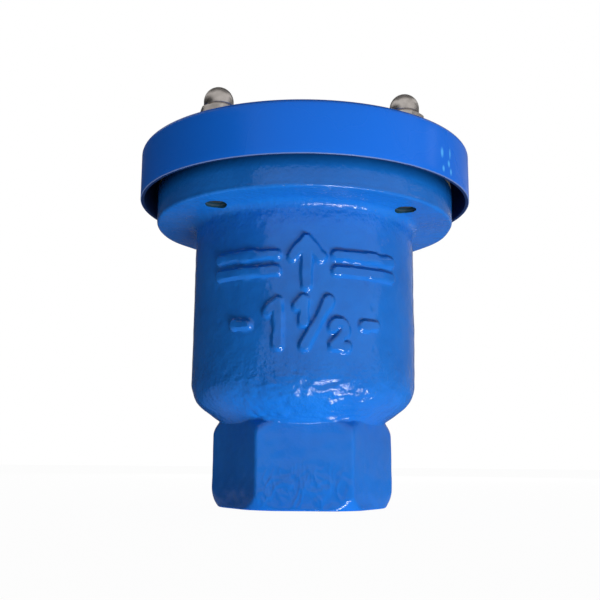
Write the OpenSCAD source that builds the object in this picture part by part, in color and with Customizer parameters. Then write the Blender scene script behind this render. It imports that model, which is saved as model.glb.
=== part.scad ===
// Air release valve: a hexagonal threaded inlet under a barrel body, a flanged top and a
// skirted vent cap. A float on a guide rod works a lever that shuts a small orifice first,
// and then lifts the plug that shuts the large one.
// The origin is the centre of the inlet face, +Z points up the flow and -Y is the front.

/* [Inlet] */
// Spanner size of the inlet hexagon, across its flats
hex_flats = 62; // [58:0.5:68]
// Height of the inlet hexagon
hex_height = 32.5; // [30:0.5:42]
// Roundness of the hexagon's upright edges, measured in from the sharp corner
hex_corner_trim = 0.9; // [0.4:0.1:1.8]
// Depth of the bevels at the hexagon's top and bottom corners
hex_bevel_depth = 2.4; // [0.6:0.1:3]
// Height of the bevels at the hexagon's top and bottom corners
hex_bevel_height = 3.6; // [2:0.1:5]
// Diameter of the inlet thread
thread_d = 47.8; // [44:0.1:50]
// Depth of the inlet thread below the throat
thread_depth = 26; // [22:0.5:27]
// Bevel at the mouth of the inlet thread
thread_bevel = 1.5; // [0.5:0.1:2.5]
// Diameter of the throat above the thread
throat_d = 41; // [36:0.5:43]

/* [Barrel] */
// Outside diameter of the barrel
barrel_d = 88; // [82:0.5:104]
// Wall of the barrel
barrel_wall = 6; // [4:0.25:8]
// Height from the hexagon to the underside of the flange
barrel_height = 78.5; // [75:0.5:110]
// Slope of the shoulder above the hexagon, in degrees
shoulder_slope = 35; // [25:1:42]
// Rounding from the shoulder to the barrel
shoulder_r = 9.5; // [5:0.5:11]
// Slope of the chamber floor, in degrees
floor_slope = 20; // [10:1:28]
// Rounding from the chamber floor to its wall
floor_r = 6; // [3:0.5:8]

/* [Cast marks] */
// Height of the raised marks above the barrel's skin
mark_proud = 1.4; // [0.6:0.1:2]
// Width of a mark's stroke
mark_stroke = 3.6; // [2:0.2:4.4]
// Height of the flow arrow's middle above the hexagon
arrow_rise = 55; // [50:0.5:60]
// Length of the flow arrow
arrow_tall = 16.5; // [12:0.5:18]
// Distance along the barrel from the arrow to the bars beside it
bar_start = 11; // [9:0.5:14]
// Length of the bars beside the arrow
bar_long = 24; // [12:0.5:26]
// Height of the size numerals' middle above the hexagon
numeral_rise = 33; // [28:0.5:34]
// Height of the size numerals
numeral_tall = 16; // [10:0.5:17]

/* [Flange] */
// Thickness of the flange
flange_t = 14; // [10:0.5:20]
// Rounding from the barrel to the flange
flange_fillet = 4.5; // [2:0.25:5.5]
// Rounding of the flange's lower edge
flange_edge_r = 2.5; // [0.5:0.25:4]
// Distance from the barrel's outside to the stud axes
stud_land = 6; // [5.5:0.25:10]
// Distance from the stud axes to the flange's rim
stud_edge = 10; // [8:0.25:14]

/* [Studs and nuts] */
// Number of studs
stud_count = 4; // [3:1:6]
// Turn of the stud circle against the hexagon, in degrees
stud_turn = 3; // [0:0.5:15]
// Diameter of the studs
stud_d = 8; // [6:0.5:8]
// How far the studs' lower ends lie inside the flange
stud_recess = 0.75; // [0.5:0.25:4]
// Diameter of the washers
washer_d = 16; // [14:0.5:20]
// Thickness of the washers
washer_t = 1.6; // [1:0.1:2.5]
// Spanner size of the domed nuts
nut_flats = 13; // [12.5:0.5:17]
// Height of the domed nuts
nut_height = 15; // [13:0.5:18]
// Height of the nuts' hexagon
nut_hex_height = 6; // [5:0.25:7]
// Diameter of the nuts' dome
nut_dome_d = 11.6; // [10.5:0.1:12]
// Wall of metal left above the nuts' blind hole
nut_crown = 3.4; // [2.4:0.1:4.5]
// Depth of the groove between the nuts' hexagon and dome
nut_groove = 0.5; // [0.2:0.1:0.8]
// Width of the groove between the nuts' hexagon and dome
nut_groove_w = 0.8; // [0.4:0.1:1.2]
// Height of the bevels on the nuts' hexagon
nut_bevel_height = 0.5; // [0.3:0.1:1]
// Bevel at both ends of the studs
stud_bevel = 1; // [0.5:0.1:1.5]

/* [Bonnet and cap] */
// Thickness of the flange gasket
gasket_t = 2; // [1:0.25:3]
// How far the gasket's rim stands out past the flange
gasket_proud = 0.4; // [0:0.1:0.6]
// Thickness of the bonnet plate
bonnet_t = 7; // [6:0.25:10]
// How far the bonnet's rim lies inside the flange's rim
bonnet_inset = 1; // [0.5:0.25:3]
// Depth of the bonnet's locating spigot inside the barrel
spigot_depth = 3; // [1:0.25:5]
// Wall of the bonnet's locating spigot
spigot_wall = 3.5; // [2.5:0.25:5]
// Diameter of the large orifice
orifice_d = 30; // [26:0.5:32]
// Height of the sleeves that hold the cap above the bonnet
spacer_height = 4.5; // [3:0.25:10]
// Wall of the sleeves
spacer_wall = 2.6; // [1.5:0.1:3]
// Gap between the flange's rim and the cap's skirt, where the air leaves
vent_gap = 5.5; // [5:0.25:9]
// Sheet thickness of the cap
cap_sheet = 1.5; // [1:0.1:2]
// Height of the cap
cap_height = 20; // [14:0.5:26]
// Outer rounding of the cap's top edge
cap_corner_r = 2.2; // [2:0.1:5]

/* [Large orifice seat] */
// Width of the seat's sealing face
seat_face = 4; // [3:0.25:5]
// Width of the seat's clamped rim
seat_rim = 3.6; // [2.5:0.1:5]
// Depth of the seat inside the bonnet
seat_depth = 2.7; // [2:0.1:3.5]
// Thickness of the ring that clamps the seat
retainer_t = 1.2; // [0.8:0.1:2]
// Width of the clamp ring outside the seat
retainer_land = 4.5; // [4:0.25:6]
// Diameter of the clamp ring's screws
retainer_screw_d = 3; // [2:0.5:3]
// Length of the clamp ring's screws inside the bonnet
retainer_screw_depth = 5; // [3:0.5:5]
// Diameter of the clamp ring's screw heads
retainer_head_d = 5.4; // [4:0.1:6]
// Thickness of the clamp ring's screw heads
retainer_head_t = 1.5; // [1:0.1:2]
// Number of screws in the clamp ring
retainer_screws_n = 4; // [3:1:8]

/* [Plug] */
// Lift of the plug from open to shut
plug_lift = 6; // [4:0.25:7]
// Thickness of the plug's disc
plug_t = 5; // [4:0.25:7]
// Number of guide wings on the plug
wing_count = 3; // [3:2:5]
// Thickness of the guide wings
wing_t = 2.5; // [1.5:0.1:4]
// Diameter of the core that joins the wings
wing_core_d = 8; // [6:0.5:9]
// Room left between the shut plug's wings and the cap
wing_headroom = 0.8; // [0.5:0.1:2]
// Thickness of the plug's two pivot lugs
lug_t = 2.2; // [1.8:0.1:3]

/* [Small orifice] */
// Distance of the small orifice from the plug's axis
jet_x = 8.5; // [7.5:0.25:9]
// Bore of the small orifice
jet_bore = 1.6; // [1:0.1:2]
// Diameter of the jet's shank in the plug
jet_shank_d = 4; // [3.5:0.1:4.5]
// Diameter of the jet's head
jet_head_d = 5.6; // [5:0.1:6]
// Height of the jet's head below the plug
jet_head = 2; // [1.5:0.1:3]
// Width of the lip around the jet's bore
jet_lip = 0.8; // [0.5:0.1:1.2]
// Height of the cone on the jet's head
jet_cone = 0.6; // [0.3:0.1:1]
// Diameter of the rubber button on the lever
button_d = 6; // [5:0.1:6.5]
// Height of the rubber button above the lever
button_proud = 1.2; // [0.8:0.1:2]
// Diameter of the button's stem
button_stem_d = 3; // [2.5:0.1:3.5]
// Thickness of the nut under the lever
button_nut_t = 1.8; // [1:0.1:2]
// Spanner size of the nut under the lever
button_nut_flats = 5.5; // [5:0.1:6]

/* [Lever] */
// Distance of the lever's pivot from the plug's axis
pivot_x = 14; // [13.5:0.25:15]
// Width of the lever
lever_w = 10; // [8:0.25:10]
// Thickness of the lever
lever_t = 4; // [3:0.25:4.5]
// Diameter of the lever's two round ends
lever_end_d = 7; // [6:0.25:7.5]
// Diameter of the pivot and link pins
pin_d = 4; // [3:0.25:4]
// Diameter of the pins' heads
pin_head_d = 6.5; // [5.5:0.25:7]
// Thickness of the pins' heads
pin_head_t = 1.2; // [0.8:0.1:2]
// Length of pin beyond its retaining clip
pin_tail = 1; // [0.5:0.1:2]
// Depth of the clip groove in the pins
pin_groove = 0.4; // [0.2:0.05:0.6]
// Thickness of the pins' retaining clips
pin_clip_t = 0.8; // [0.5:0.1:1.2]
// Width of the pins' retaining clips
pin_clip_w = 1.9; // [1.2:0.1:2.2]
// Width of the mouth in the pins' retaining clips
pin_clip_mouth = 2; // [1:0.1:2.4]

/* [Float] */
// Diameter of the float ball
float_d = 50; // [40:0.5:52]
// Sheet thickness of the float ball
float_sheet = 0.5; // [0.4:0.05:1]
// Rise of the float that shuts the small orifice
float_rise = 3; // [2:0.25:3.5]
// Thickness of the yoke's two ears
ear_t = 2.4; // [1.8:0.1:3]
// Thickness of the yoke's bridge
bridge_t = 2.5; // [2:0.1:4]
// Diameter of the yoke's stem on the ball
yoke_stem_d = 6.5; // [5:0.5:7]
// Diameter of the guide rod
rod_d = 7; // [5:0.25:8]
// Diameter of the collar that rests on the guide
collar_d = 12; // [10:0.5:14]
// Thickness of the collar that rests on the guide
collar_t = 2; // [1.5:0.25:3]

/* [Guide spider] */
// Diameter of the spider's ring in the body
spider_d = 52; // [50:0.5:54]
// Thickness of the spider's ring and arms
spider_t = 3; // [2:0.25:4]
// How far the spider's seat lies above the hexagon
spider_seat_rise = 1.5; // [0.5:0.25:2.5]
// Number of the spider's arms
arm_count = 3; // [3:1:6]
// Width of the spider's arms
arm_w = 5; // [3:0.25:7]
// Diameter of the spider's hub
hub_d = 15; // [14:0.5:18]
// Length of the hub above the spider's seat
hub_above = 8; // [6:0.25:9]
// Length of the hub below the spider's seat
hub_below = 3; // [1:0.25:3.5]
// Wall of the bush in the hub
bush_wall = 1.5; // [1:0.1:2]
// Thickness of the clip that holds the spider down
spider_clip_t = 1.2; // [0.8:0.1:1.6]
// Width of the clip that holds the spider down
spider_clip_w = 3.6; // [2.5:0.1:4.5]
// Width of the mouth in the clip that holds the spider down
spider_clip_mouth = 8; // [4:0.5:12]
// Depth of the clip's groove in the body
spider_groove = 1; // [0.6:0.1:1.5]

/* [Fits] */
// Radial room of pieces that are fixed in each other
fixed_fit = 0.05; // [0.02:0.01:0.1]
// Radial room of a stud or screw in its tapped hole
thread_fit = 0.1; // [0.05:0.01:0.2]
// Radial room of pins and rods that run in a bore
running_fit = 0.08; // [0.04:0.01:0.1]
// Radial room of a stud in a plain hole
stud_room = 0.5; // [0.3:0.05:0.8]
// Side room of the lever between lugs and ears, and of the plug's wings
side_room = 0.3; // [0.2:0.05:0.5]
// Gap left at faces that close against rubber or come to rest
rest_gap = 0.1; // [0.05:0.01:0.3]

/* [Hidden] */
$fn = 96;
ARC_STEPS = 8;
// How far cutting shapes run past the faces they cut
over = 1;
PAINT = [0.05, 0.31, 0.74];
STEEL = [0.72, 0.72, 0.7];
BRONZE = [0.72, 0.52, 0.28];
RUBBER = [0.09, 0.09, 0.1];
FIBRE = [0.84, 0.79, 0.66];

// Radii that several pieces share
hex_corner_r = hex_flats / 2 / cos(30) - hex_corner_trim;
foot_r = hex_corner_r - hex_bevel_depth;
barrel_r = barrel_d / 2;
chamber_r = barrel_r - barrel_wall;
stud_r = stud_d / 2;
stud_circle_r = barrel_r + stud_land;
flange_r = stud_circle_r + stud_edge;
cap_r = flange_r + vent_gap + cap_sheet;
orifice_r = orifice_d / 2;
seat_r_in = orifice_r + side_room;
seat_r_face = seat_r_in + seat_face;
seat_r_out = seat_r_face + seat_rim;
retainer_screw_r = seat_r_out + retainer_land / 2;
plug_r = seat_r_face - side_room;
float_r = float_d / 2;
pin_r = pin_d / 2;
lever_end_r = lever_end_d / 2;
lug_inside = lever_w / 2 + side_room;

// Heights of the fixed pieces
flange_z = hex_height + barrel_height;
gasket_z = flange_z + flange_t;
bonnet_z = gasket_z + gasket_t;
spacer_z = bonnet_z + bonnet_t;
cap_inner_z = spacer_z + spacer_height;
washer_z = cap_inner_z + cap_sheet;
nut_z = washer_z + washer_t;
seat_z = bonnet_z - retainer_t;
spider_z = hex_height + spider_seat_rise;
hub_top_z = spider_z + hub_above;
spider_clip_z = spider_z + spider_t + rest_gap;
floor_z = spider_clip_z + spider_clip_t + rest_gap + spider_groove;

// Heights of the moving pieces, with the plug dropped open and the float down
plug_top_z = seat_z - rest_gap - plug_lift;
plug_z = plug_top_z - plug_t;
wing_height = cap_inner_z - wing_headroom - (seat_z - rest_gap);
jet_tip_z = plug_z - jet_head;
pivot_z = jet_tip_z - rest_gap - button_proud - lever_t / 2;
link_z = pivot_z - float_rise;
bridge_z = link_z - lever_end_r - 3 * side_room - bridge_t;
collar_z = hub_top_z + rest_gap;
float_z = (bridge_z + collar_z + collar_t) / 2;
rod_end_z = thread_depth + 3 * side_room;

// The lever hangs at this angle while the float is down, and lies level when it is up
lever_tilt = atan2(float_rise, pivot_x);
slot_far = norm([pivot_x, float_rise]);
slot_mid = (pivot_x + slot_far) / 2;

// Strokes of the marks, as pairs of points across and up in boxes one unit high
ARROW = [[[0, 0], [0, 1]], [[-0.3, 0.62], [0, 1]], [[0.3, 0.62], [0, 1]]];
ONE = [[[0, 0.74], [0.26, 1]], [[0.26, 1], [0.26, 0]]];
BAR_OF_FRACTION = [[[0.1, 0], [0.62, 1]]];
TWO_BOW = [for (a = [165:-50:-35]) [0.28 + 0.28 * cos(a), 0.72 + 0.28 * sin(a)]];
TWO = path_strokes(concat(TWO_BOW, [[0.02, 0], [0.58, 0]]));

// Strokes from each point of a path to the next
function path_strokes(path) =
    [for (i = [0:len(path) - 2]) [path[i], path[i + 1]]];

// Strokes drawn at a size, from their lower left corner
function drawn(strokes, left, low, tall) =
    [for (stroke = strokes) [for (point = stroke) [left, low] + tall * point]];

// Points of an arc in a profile, from angle a0 to angle a1
function arc(centre, r, a0, a1) =
    [for (i = [0:ARC_STEPS]) let (a = a0 + (a1 - a0) * i / ARC_STEPS) centre + r * [cos(a), sin(a)]];

// Ring between two radii, standing on z = 0
module ring(r_out, r_in, height) {
    difference() {
        cylinder(r = r_out, h = height);
        translate([0, 0, -over])
            cylinder(r = r_in, h = height + 2 * over);
    }
}

// Places its children on the stud axes
module at_studs() {
    for (i = [0:stud_count - 1])
        rotate(stud_turn + (i + 0.5) * 360 / stud_count)
            translate([stud_circle_r, 0, 0])
                children();
}

// Places its children on the clamp ring's screw axes
module at_retainer_screws() {
    for (i = [0:retainer_screws_n - 1])
        rotate(i * 360 / retainer_screws_n)
            translate([retainer_screw_r, 0, 0])
                children();
}

// Cylinder along Y, centred on the origin
module cross_pin(r, length) {
    rotate([90, 0, 0])
        cylinder(r = r, h = length, center = true);
}

// Hexagonal prism with both ends bevelled round
module bevelled_hex(flats, corner_r, height, bevel_depth, bevel_height) {
    inner_r = corner_r - bevel_depth;
    intersection() {
        cylinder(r = flats / 2 / cos(30), h = height, $fn = 6);
        rotate_extrude()
            polygon([
                [0, 0], [inner_r, 0], [corner_r, bevel_height],
                [corner_r, height - bevel_height], [inner_r, height], [0, height]
            ]);
    }
}

// Outside of the cast barrel with its shoulder and flange
module barrel_outside() {
    run = [cos(shoulder_slope), sin(shoulder_slope)];
    arc_r = barrel_r - shoulder_r;
    touch_r = arc_r + shoulder_r * run.y;
    arc_z = hex_height + (touch_r - foot_r) * run.y / run.x + shoulder_r * run.x;
    sunk_z = hex_height - hex_bevel_height;
    rotate_extrude()
        polygon(concat(
            [[0, sunk_z], [foot_r - hex_bevel_height * run.x / run.y, sunk_z]],
            arc([arc_r, arc_z], shoulder_r, shoulder_slope - 90, 0),
            arc([barrel_r + flange_fillet, flange_z - flange_fillet], flange_fillet, 180, 90),
            arc([flange_r - flange_edge_r, flange_z + flange_edge_r], flange_edge_r, -90, 0),
            [[flange_r, gasket_z], [0, gasket_z]]
        ));
}

// Bar set in the barrel between two points, given along its skin from the front and in height
module cast_stroke(from, to) {
    run = to - from;
    middle = (from + to) / 2;
    rotate([90, 0, middle.x / barrel_r * 180 / PI])
        translate([0, middle.y, barrel_r])
            rotate(atan2(run.y, run.x))
                cube([norm(run) + mark_stroke, mark_stroke, barrel_wall], center = true);
}

// Raised marks on the front: a flow arrow between bars, and the size 1 1/2 between dashes
module cast_marks() {
    arrow_low = hex_height + arrow_rise - arrow_tall / 2;
    size_low = hex_height + numeral_rise - numeral_tall / 2;
    bars = [
        for (side = [-1, 1], rise = [0.32, 0.68])
            let (z = arrow_low + rise * arrow_tall)
                [[side * bar_start, z], [side * (bar_start + bar_long), z]]
    ];
    dashes = [for (side = [-1, 1]) [[side * 1.34, 0.5], [side * 1.7, 0.5]]];
    strokes = concat(
        drawn(ARROW, 0, arrow_low, arrow_tall),
        bars,
        drawn(dashes, 0, size_low, numeral_tall),
        drawn(ONE, -0.89 * numeral_tall, size_low, numeral_tall),
        drawn(ONE, -0.19 * numeral_tall, size_low + 0.5 * numeral_tall, 0.5 * numeral_tall),
        drawn(BAR_OF_FRACTION, -0.13 * numeral_tall, size_low, numeral_tall),
        drawn(TWO, 0.59 * numeral_tall, size_low, 0.52 * numeral_tall)
    );
    intersection() {
        cylinder(r = barrel_r + mark_proud, h = flange_z);
        union()
            for (stroke = strokes)
                cast_stroke(stroke[0], stroke[1]);
    }
}

// Thread, throat, spider seat and chamber, as one turned shape to cut out
module body_inside() {
    thread_r = thread_d / 2;
    spider_r = spider_d / 2;
    groove_r = spider_r + spider_groove;
    groove_z = spider_clip_z - rest_gap;
    groove_top = spider_clip_z + spider_clip_t + rest_gap;
    arc_r = chamber_r - floor_r;
    touch_r = arc_r + floor_r * sin(floor_slope);
    arc_z = floor_z + (touch_r - spider_r) * tan(floor_slope) + floor_r * cos(floor_slope);
    rotate_extrude()
        polygon(concat(
            [
                [0, -over], [thread_r + thread_bevel + over, -over], [thread_r, thread_bevel],
                [thread_r, thread_depth], [throat_d / 2, thread_depth], [throat_d / 2, spider_z],
                [spider_r, spider_z], [spider_r, groove_z], [groove_r, groove_z],
                [groove_r, groove_top], [spider_r, groove_top], [spider_r, floor_z]
            ],
            arc([arc_r, arc_z], floor_r, floor_slope - 90, 0),
            [[chamber_r, gasket_z + over], [0, gasket_z + over]]
        ));
}

module body() {
    color(PAINT)
        difference() {
            union() {
                bevelled_hex(hex_flats, hex_corner_r, hex_height, hex_bevel_depth, hex_bevel_height);
                barrel_outside();
                cast_marks();
            }
            body_inside();
            at_studs()
                translate([0, 0, flange_z - flange_fillet])
                    cylinder(r = stud_r + thread_fit, h = flange_t + 2 * flange_fillet);
        }
}

module guide_spider() {
    ring_r = spider_d / 2 - fixed_fit;
    hub_length = hub_above + hub_below;
    color(STEEL)
        difference() {
            translate([0, 0, spider_z])
                union() {
                    ring(ring_r, throat_d / 2, spider_t);
                    for (i = [0:arm_count - 1])
                        rotate(i * 360 / arm_count + 90)
                            translate([0, -arm_w / 2, 0])
                                cube([(ring_r + throat_d / 2) / 2, arm_w, spider_t]);
                    translate([0, 0, -hub_below])
                        cylinder(d = hub_d, h = hub_length);
                }
            translate([0, 0, spider_z - hub_below - over])
                cylinder(r = rod_d / 2 + running_fit + bush_wall + fixed_fit, h = hub_length + 2 * over);
        }
}

module guide_bush() {
    bore_r = rod_d / 2 + running_fit;
    color(BRONZE)
        translate([0, 0, spider_z - hub_below])
            ring(bore_r + bush_wall, bore_r, hub_above + hub_below);
}

module spider_clip() {
    outer_r = spider_d / 2 + spider_groove - rest_gap;
    color(STEEL)
        translate([0, 0, spider_clip_z])
            difference() {
                ring(outer_r, outer_r - spider_clip_w, spider_clip_t);
                translate([0, -spider_clip_mouth / 2, -over])
                    cube([2 * outer_r, spider_clip_mouth, spider_clip_t + 2 * over]);
            }
}

module body_gasket() {
    color(FIBRE)
        translate([0, 0, gasket_z])
            difference() {
                ring(flange_r + gasket_proud, chamber_r, gasket_t);
                at_studs()
                    translate([0, 0, -over])
                        cylinder(r = stud_r + stud_room, h = gasket_t + 2 * over);
            }
}

module bonnet() {
    spigot_r = chamber_r - side_room;
    spigot_top = gasket_t + spigot_depth;
    screw_hole = retainer_screw_depth + rest_gap;
    color(PAINT)
        difference() {
            union() {
                translate([0, 0, bonnet_z])
                    cylinder(r = flange_r - bonnet_inset, h = bonnet_t);
                translate([0, 0, bonnet_z - spigot_top])
                    ring(spigot_r, spigot_r - spigot_wall, spigot_top + bonnet_t / 2);
            }
            translate([0, 0, bonnet_z - over]) {
                cylinder(r = orifice_r, h = bonnet_t + 2 * over);
                cylinder(r = seat_r_out + fixed_fit, h = seat_depth + over);
                at_studs()
                    cylinder(r = stud_r + stud_room, h = bonnet_t + 2 * over);
                at_retainer_screws()
                    cylinder(r = retainer_screw_d / 2 + thread_fit, h = over + screw_hole);
            }
        }
}

module seat_ring() {
    color(RUBBER)
        rotate_extrude()
            polygon([
                [seat_r_in, seat_z], [seat_r_face, seat_z], [seat_r_face, bonnet_z],
                [seat_r_out, bonnet_z], [seat_r_out, bonnet_z + seat_depth],
                [seat_r_in, bonnet_z + seat_depth]
            ]);
}

module seat_retainer() {
    color(STEEL)
        translate([0, 0, seat_z])
            difference() {
                ring(seat_r_out + retainer_land, seat_r_face + fixed_fit, retainer_t);
                at_retainer_screws()
                    translate([0, 0, -over])
                        cylinder(r = retainer_screw_d / 2 + thread_fit, h = retainer_t + 2 * over);
            }
}

module retainer_screws() {
    length = retainer_head_t + retainer_t + retainer_screw_depth;
    color(STEEL)
        at_retainer_screws()
            translate([0, 0, seat_z - retainer_head_t])
                union() {
                    cylinder(d = retainer_head_d, h = retainer_head_t);
                    cylinder(d = retainer_screw_d, h = length);
                }
}

module studs() {
    lower_z = flange_z + stud_recess;
    upper_z = nut_z + nut_height - nut_crown - rest_gap;
    color(STEEL)
        at_studs()
            rotate_extrude()
                polygon([
                    [0, lower_z], [stud_r - stud_bevel, lower_z], [stud_r, lower_z + stud_bevel],
                    [stud_r, upper_z - stud_bevel], [stud_r - stud_bevel, upper_z], [0, upper_z]
                ]);
}

module cap_spacers() {
    bore_r = stud_r + stud_room;
    color(STEEL)
        at_studs()
            translate([0, 0, spacer_z])
                ring(bore_r + spacer_wall, bore_r, spacer_height);
}

module vent_cap() {
    skirt_z = washer_z - cap_height;
    bend = [cap_r - cap_corner_r, washer_z - cap_corner_r];
    color(PAINT)
        difference() {
            rotate_extrude()
                polygon(concat(
                    [[0, cap_inner_z]],
                    arc(bend, cap_corner_r - cap_sheet, 90, 0),
                    [[cap_r - cap_sheet, skirt_z], [cap_r, skirt_z]],
                    arc(bend, cap_corner_r, 0, 90),
                    [[0, washer_z]]
                ));
            at_studs()
                translate([0, 0, cap_inner_z - over])
                    cylinder(r = stud_r + stud_room, h = cap_sheet + 2 * over);
        }
}

module cap_washers() {
    color(STEEL)
        at_studs()
            translate([0, 0, washer_z])
                ring(washer_d / 2, stud_r + stud_room, washer_t);
}

module acorn_nuts() {
    dome_r = nut_dome_d / 2;
    groove_r = dome_r - nut_groove;
    groove_top = nut_hex_height + nut_groove_w;
    dome_z = nut_height - dome_r;
    corner_r = nut_flats / 2 / cos(30);
    bevel_depth = corner_r - nut_flats / 2;
    color(STEEL)
        at_studs()
            translate([0, 0, nut_z])
                difference() {
                    union() {
                        bevelled_hex(nut_flats, corner_r, nut_hex_height, bevel_depth, nut_bevel_height);
                        rotate_extrude()
                            polygon(concat(
                                [[0, 0], [groove_r, 0], [groove_r, groove_top]],
                                [[dome_r, groove_top + nut_groove]],
                                arc([0, dome_z], dome_r, 0, 90)
                            ));
                    }
                    translate([0, 0, -over])
                        cylinder(r = stud_r + thread_fit, h = over + nut_height - nut_crown);
                }
}

// One of the two lugs or ears that carry a pin, from the pin's axis to a face above or below
module pin_cheek(inside, thickness, reach) {
    for (side = [-1, 1])
        translate([0, side * (inside + thickness / 2), 0])
            union() {
                cross_pin(lever_end_r, thickness);
                translate([-lever_end_r, -thickness / 2, min(0, reach)])
                    cube([2 * lever_end_r, thickness, abs(reach)]);
            }
}

// Headed pin along Y with a groove for its clip, with cheeks that reach out to the given face
module headed_pin(cheek_face) {
    head_y = -cheek_face - rest_gap;
    groove_y = cheek_face + rest_gap;
    groove_w = pin_clip_t + 2 * rest_gap;
    tail_y = groove_y + groove_w + pin_tail;
    rotate([-90, 0, 0])
        difference() {
            union() {
                translate([0, 0, head_y - pin_head_t])
                    cylinder(d = pin_head_d, h = pin_head_t);
                translate([0, 0, head_y - pin_head_t / 2])
                    cylinder(r = pin_r, h = tail_y - head_y + pin_head_t / 2);
            }
            translate([0, 0, groove_y])
                ring(pin_r + over, pin_r - pin_groove, groove_w);
        }
}

// Open ring clip in the pin's groove
module pin_clip(cheek_face) {
    inner_r = pin_r - pin_groove + fixed_fit;
    outer_r = inner_r + pin_clip_w;
    rotate([-90, 0, 0])
        translate([0, 0, cheek_face + 2 * rest_gap])
            difference() {
                ring(outer_r, inner_r, pin_clip_t);
                translate([0, -pin_clip_mouth / 2, -over])
                    cube([outer_r + over, pin_clip_mouth, pin_clip_t + 2 * over]);
            }
}

module plug() {
    wing_r = orifice_r - side_room;
    color(BRONZE)
        difference() {
            union() {
                translate([0, 0, plug_z])
                    cylinder(r = plug_r, h = plug_t);
                translate([0, 0, plug_z + plug_t / 2])
                    cylinder(d = wing_core_d, h = plug_t / 2 + wing_height);
                intersection() {
                    translate([0, 0, plug_z + plug_t / 2])
                        cylinder(r = wing_r, h = plug_t / 2 + wing_height);
                    for (i = [0:wing_count - 1])
                        rotate(180 + i * 360 / wing_count)
                            translate([0, -wing_t / 2, plug_z])
                                cube([2 * wing_r, wing_t, plug_t + wing_height]);
                }
                translate([pivot_x, 0, pivot_z])
                    pin_cheek(lug_inside, lug_t, plug_z + plug_t / 2 - pivot_z);
            }
            translate([jet_x, 0, plug_z - over])
                cylinder(r = jet_shank_d / 2 + thread_fit, h = plug_t + 2 * over);
            translate([pivot_x, 0, pivot_z])
                cross_pin(pin_r + fixed_fit, 4 * lug_inside);
        }
}

module orifice_jet() {
    lip_r = jet_bore / 2 + jet_lip;
    color(STEEL)
        translate([jet_x, 0, 0])
            rotate_extrude()
                polygon([
                    [jet_bore / 2, jet_tip_z], [lip_r, jet_tip_z],
                    [jet_head_d / 2, jet_tip_z + jet_cone], [jet_head_d / 2, plug_z],
                    [jet_shank_d / 2, plug_z], [jet_shank_d / 2, plug_top_z],
                    [jet_bore / 2, plug_top_z]
                ]);
}

module pivot_pin() {
    color(STEEL)
        translate([pivot_x, 0, pivot_z])
            headed_pin(lug_inside + lug_t);
}

module pivot_clip() {
    color(STEEL)
        translate([pivot_x, 0, pivot_z])
            pin_clip(lug_inside + lug_t);
}

// Places its children in the hanging lever's own frame: pivot at the origin, arm along -X
module on_lever() {
    translate([pivot_x, 0, pivot_z])
        rotate([0, -lever_tilt, 0])
            children();
}

module lever() {
    spot_r = max(button_d / 2, button_nut_flats / 2 / cos(30)) + side_room;
    color(STEEL)
        on_lever()
            difference() {
                union() {
                    cross_pin(lever_end_r, lever_w);
                    translate([-slot_mid, -lever_w / 2, -lever_t / 2])
                        cube([slot_mid, lever_w, lever_t]);
                    translate([-slot_mid, 0, 0])
                        cross_pin(lever_end_r, lever_w);
                }
                for (x = [0, pivot_x, slot_far])
                    translate([-x, 0, 0])
                        cross_pin(pin_r + running_fit, lever_w + 2 * over);
                translate([jet_x - pivot_x, 0, 0]) {
                    cylinder(r = button_stem_d / 2 + fixed_fit, h = 2 * lever_t, center = true);
                    for (side = [-1, 1])
                        translate([0, 0, side * lever_t])
                            cylinder(r = spot_r, h = lever_t, center = true);
                }
            }
}

module orifice_button() {
    lever_top = lever_t / 2;
    stem_end = -lever_top - button_nut_t;
    color(RUBBER)
        on_lever()
            translate([jet_x - pivot_x, 0, 0])
                union() {
                    translate([0, 0, lever_top])
                        cylinder(d = button_d, h = button_proud);
                    translate([0, 0, stem_end])
                        cylinder(d = button_stem_d, h = lever_top - stem_end + button_proud / 2);
                }
}

module button_nut() {
    color(STEEL)
        on_lever()
            translate([jet_x - pivot_x, 0, -lever_t / 2 - button_nut_t])
                difference() {
                    cylinder(r = button_nut_flats / 2 / cos(30), h = button_nut_t, $fn = 6);
                    translate([0, 0, -over])
                        cylinder(r = button_stem_d / 2 + fixed_fit, h = button_nut_t + 2 * over);
                }
}

module float_yoke() {
    ear_face = lug_inside + ear_t;
    color(STEEL)
        difference() {
            union() {
                translate([0, 0, link_z])
                    pin_cheek(lug_inside, ear_t, bridge_z - link_z);
                translate([-lever_end_r, -ear_face, bridge_z])
                    cube([2 * lever_end_r, 2 * ear_face, bridge_t]);
                translate([0, 0, float_z])
                    cylinder(d = yoke_stem_d, h = bridge_z + bridge_t / 2 - float_z);
            }
            translate([0, 0, link_z])
                cross_pin(pin_r + fixed_fit, 4 * ear_face);
            translate([0, 0, float_z])
                sphere(r = float_r + fixed_fit);
        }
}

// Half of the hollow ball, above its weld for side 1 and below it for side -1
module half_ball(side) {
    translate([0, 0, float_z])
        difference() {
            sphere(r = float_r);
            sphere(r = float_r - float_sheet);
            translate([0, 0, -side * float_r])
                cube([3 * float_r, 3 * float_r, 2 * float_r], center = true);
        }
}

module float_upper_half() {
    color(STEEL)
        half_ball(1);
}

module float_lower_half() {
    color(STEEL)
        half_ball(-1);
}

module guide_rod() {
    color(STEEL)
        difference() {
            union() {
                translate([0, 0, rod_end_z])
                    cylinder(d = rod_d, h = float_z - rod_end_z);
                translate([0, 0, collar_z])
                    cylinder(d = collar_d, h = collar_t);
            }
            translate([0, 0, float_z])
                sphere(r = float_r + fixed_fit);
        }
}

module link_pin() {
    color(STEEL)
        translate([0, 0, link_z])
            headed_pin(lug_inside + ear_t);
}

module link_clip() {
    color(STEEL)
        translate([0, 0, link_z])
            pin_clip(lug_inside + ear_t);
}

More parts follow.
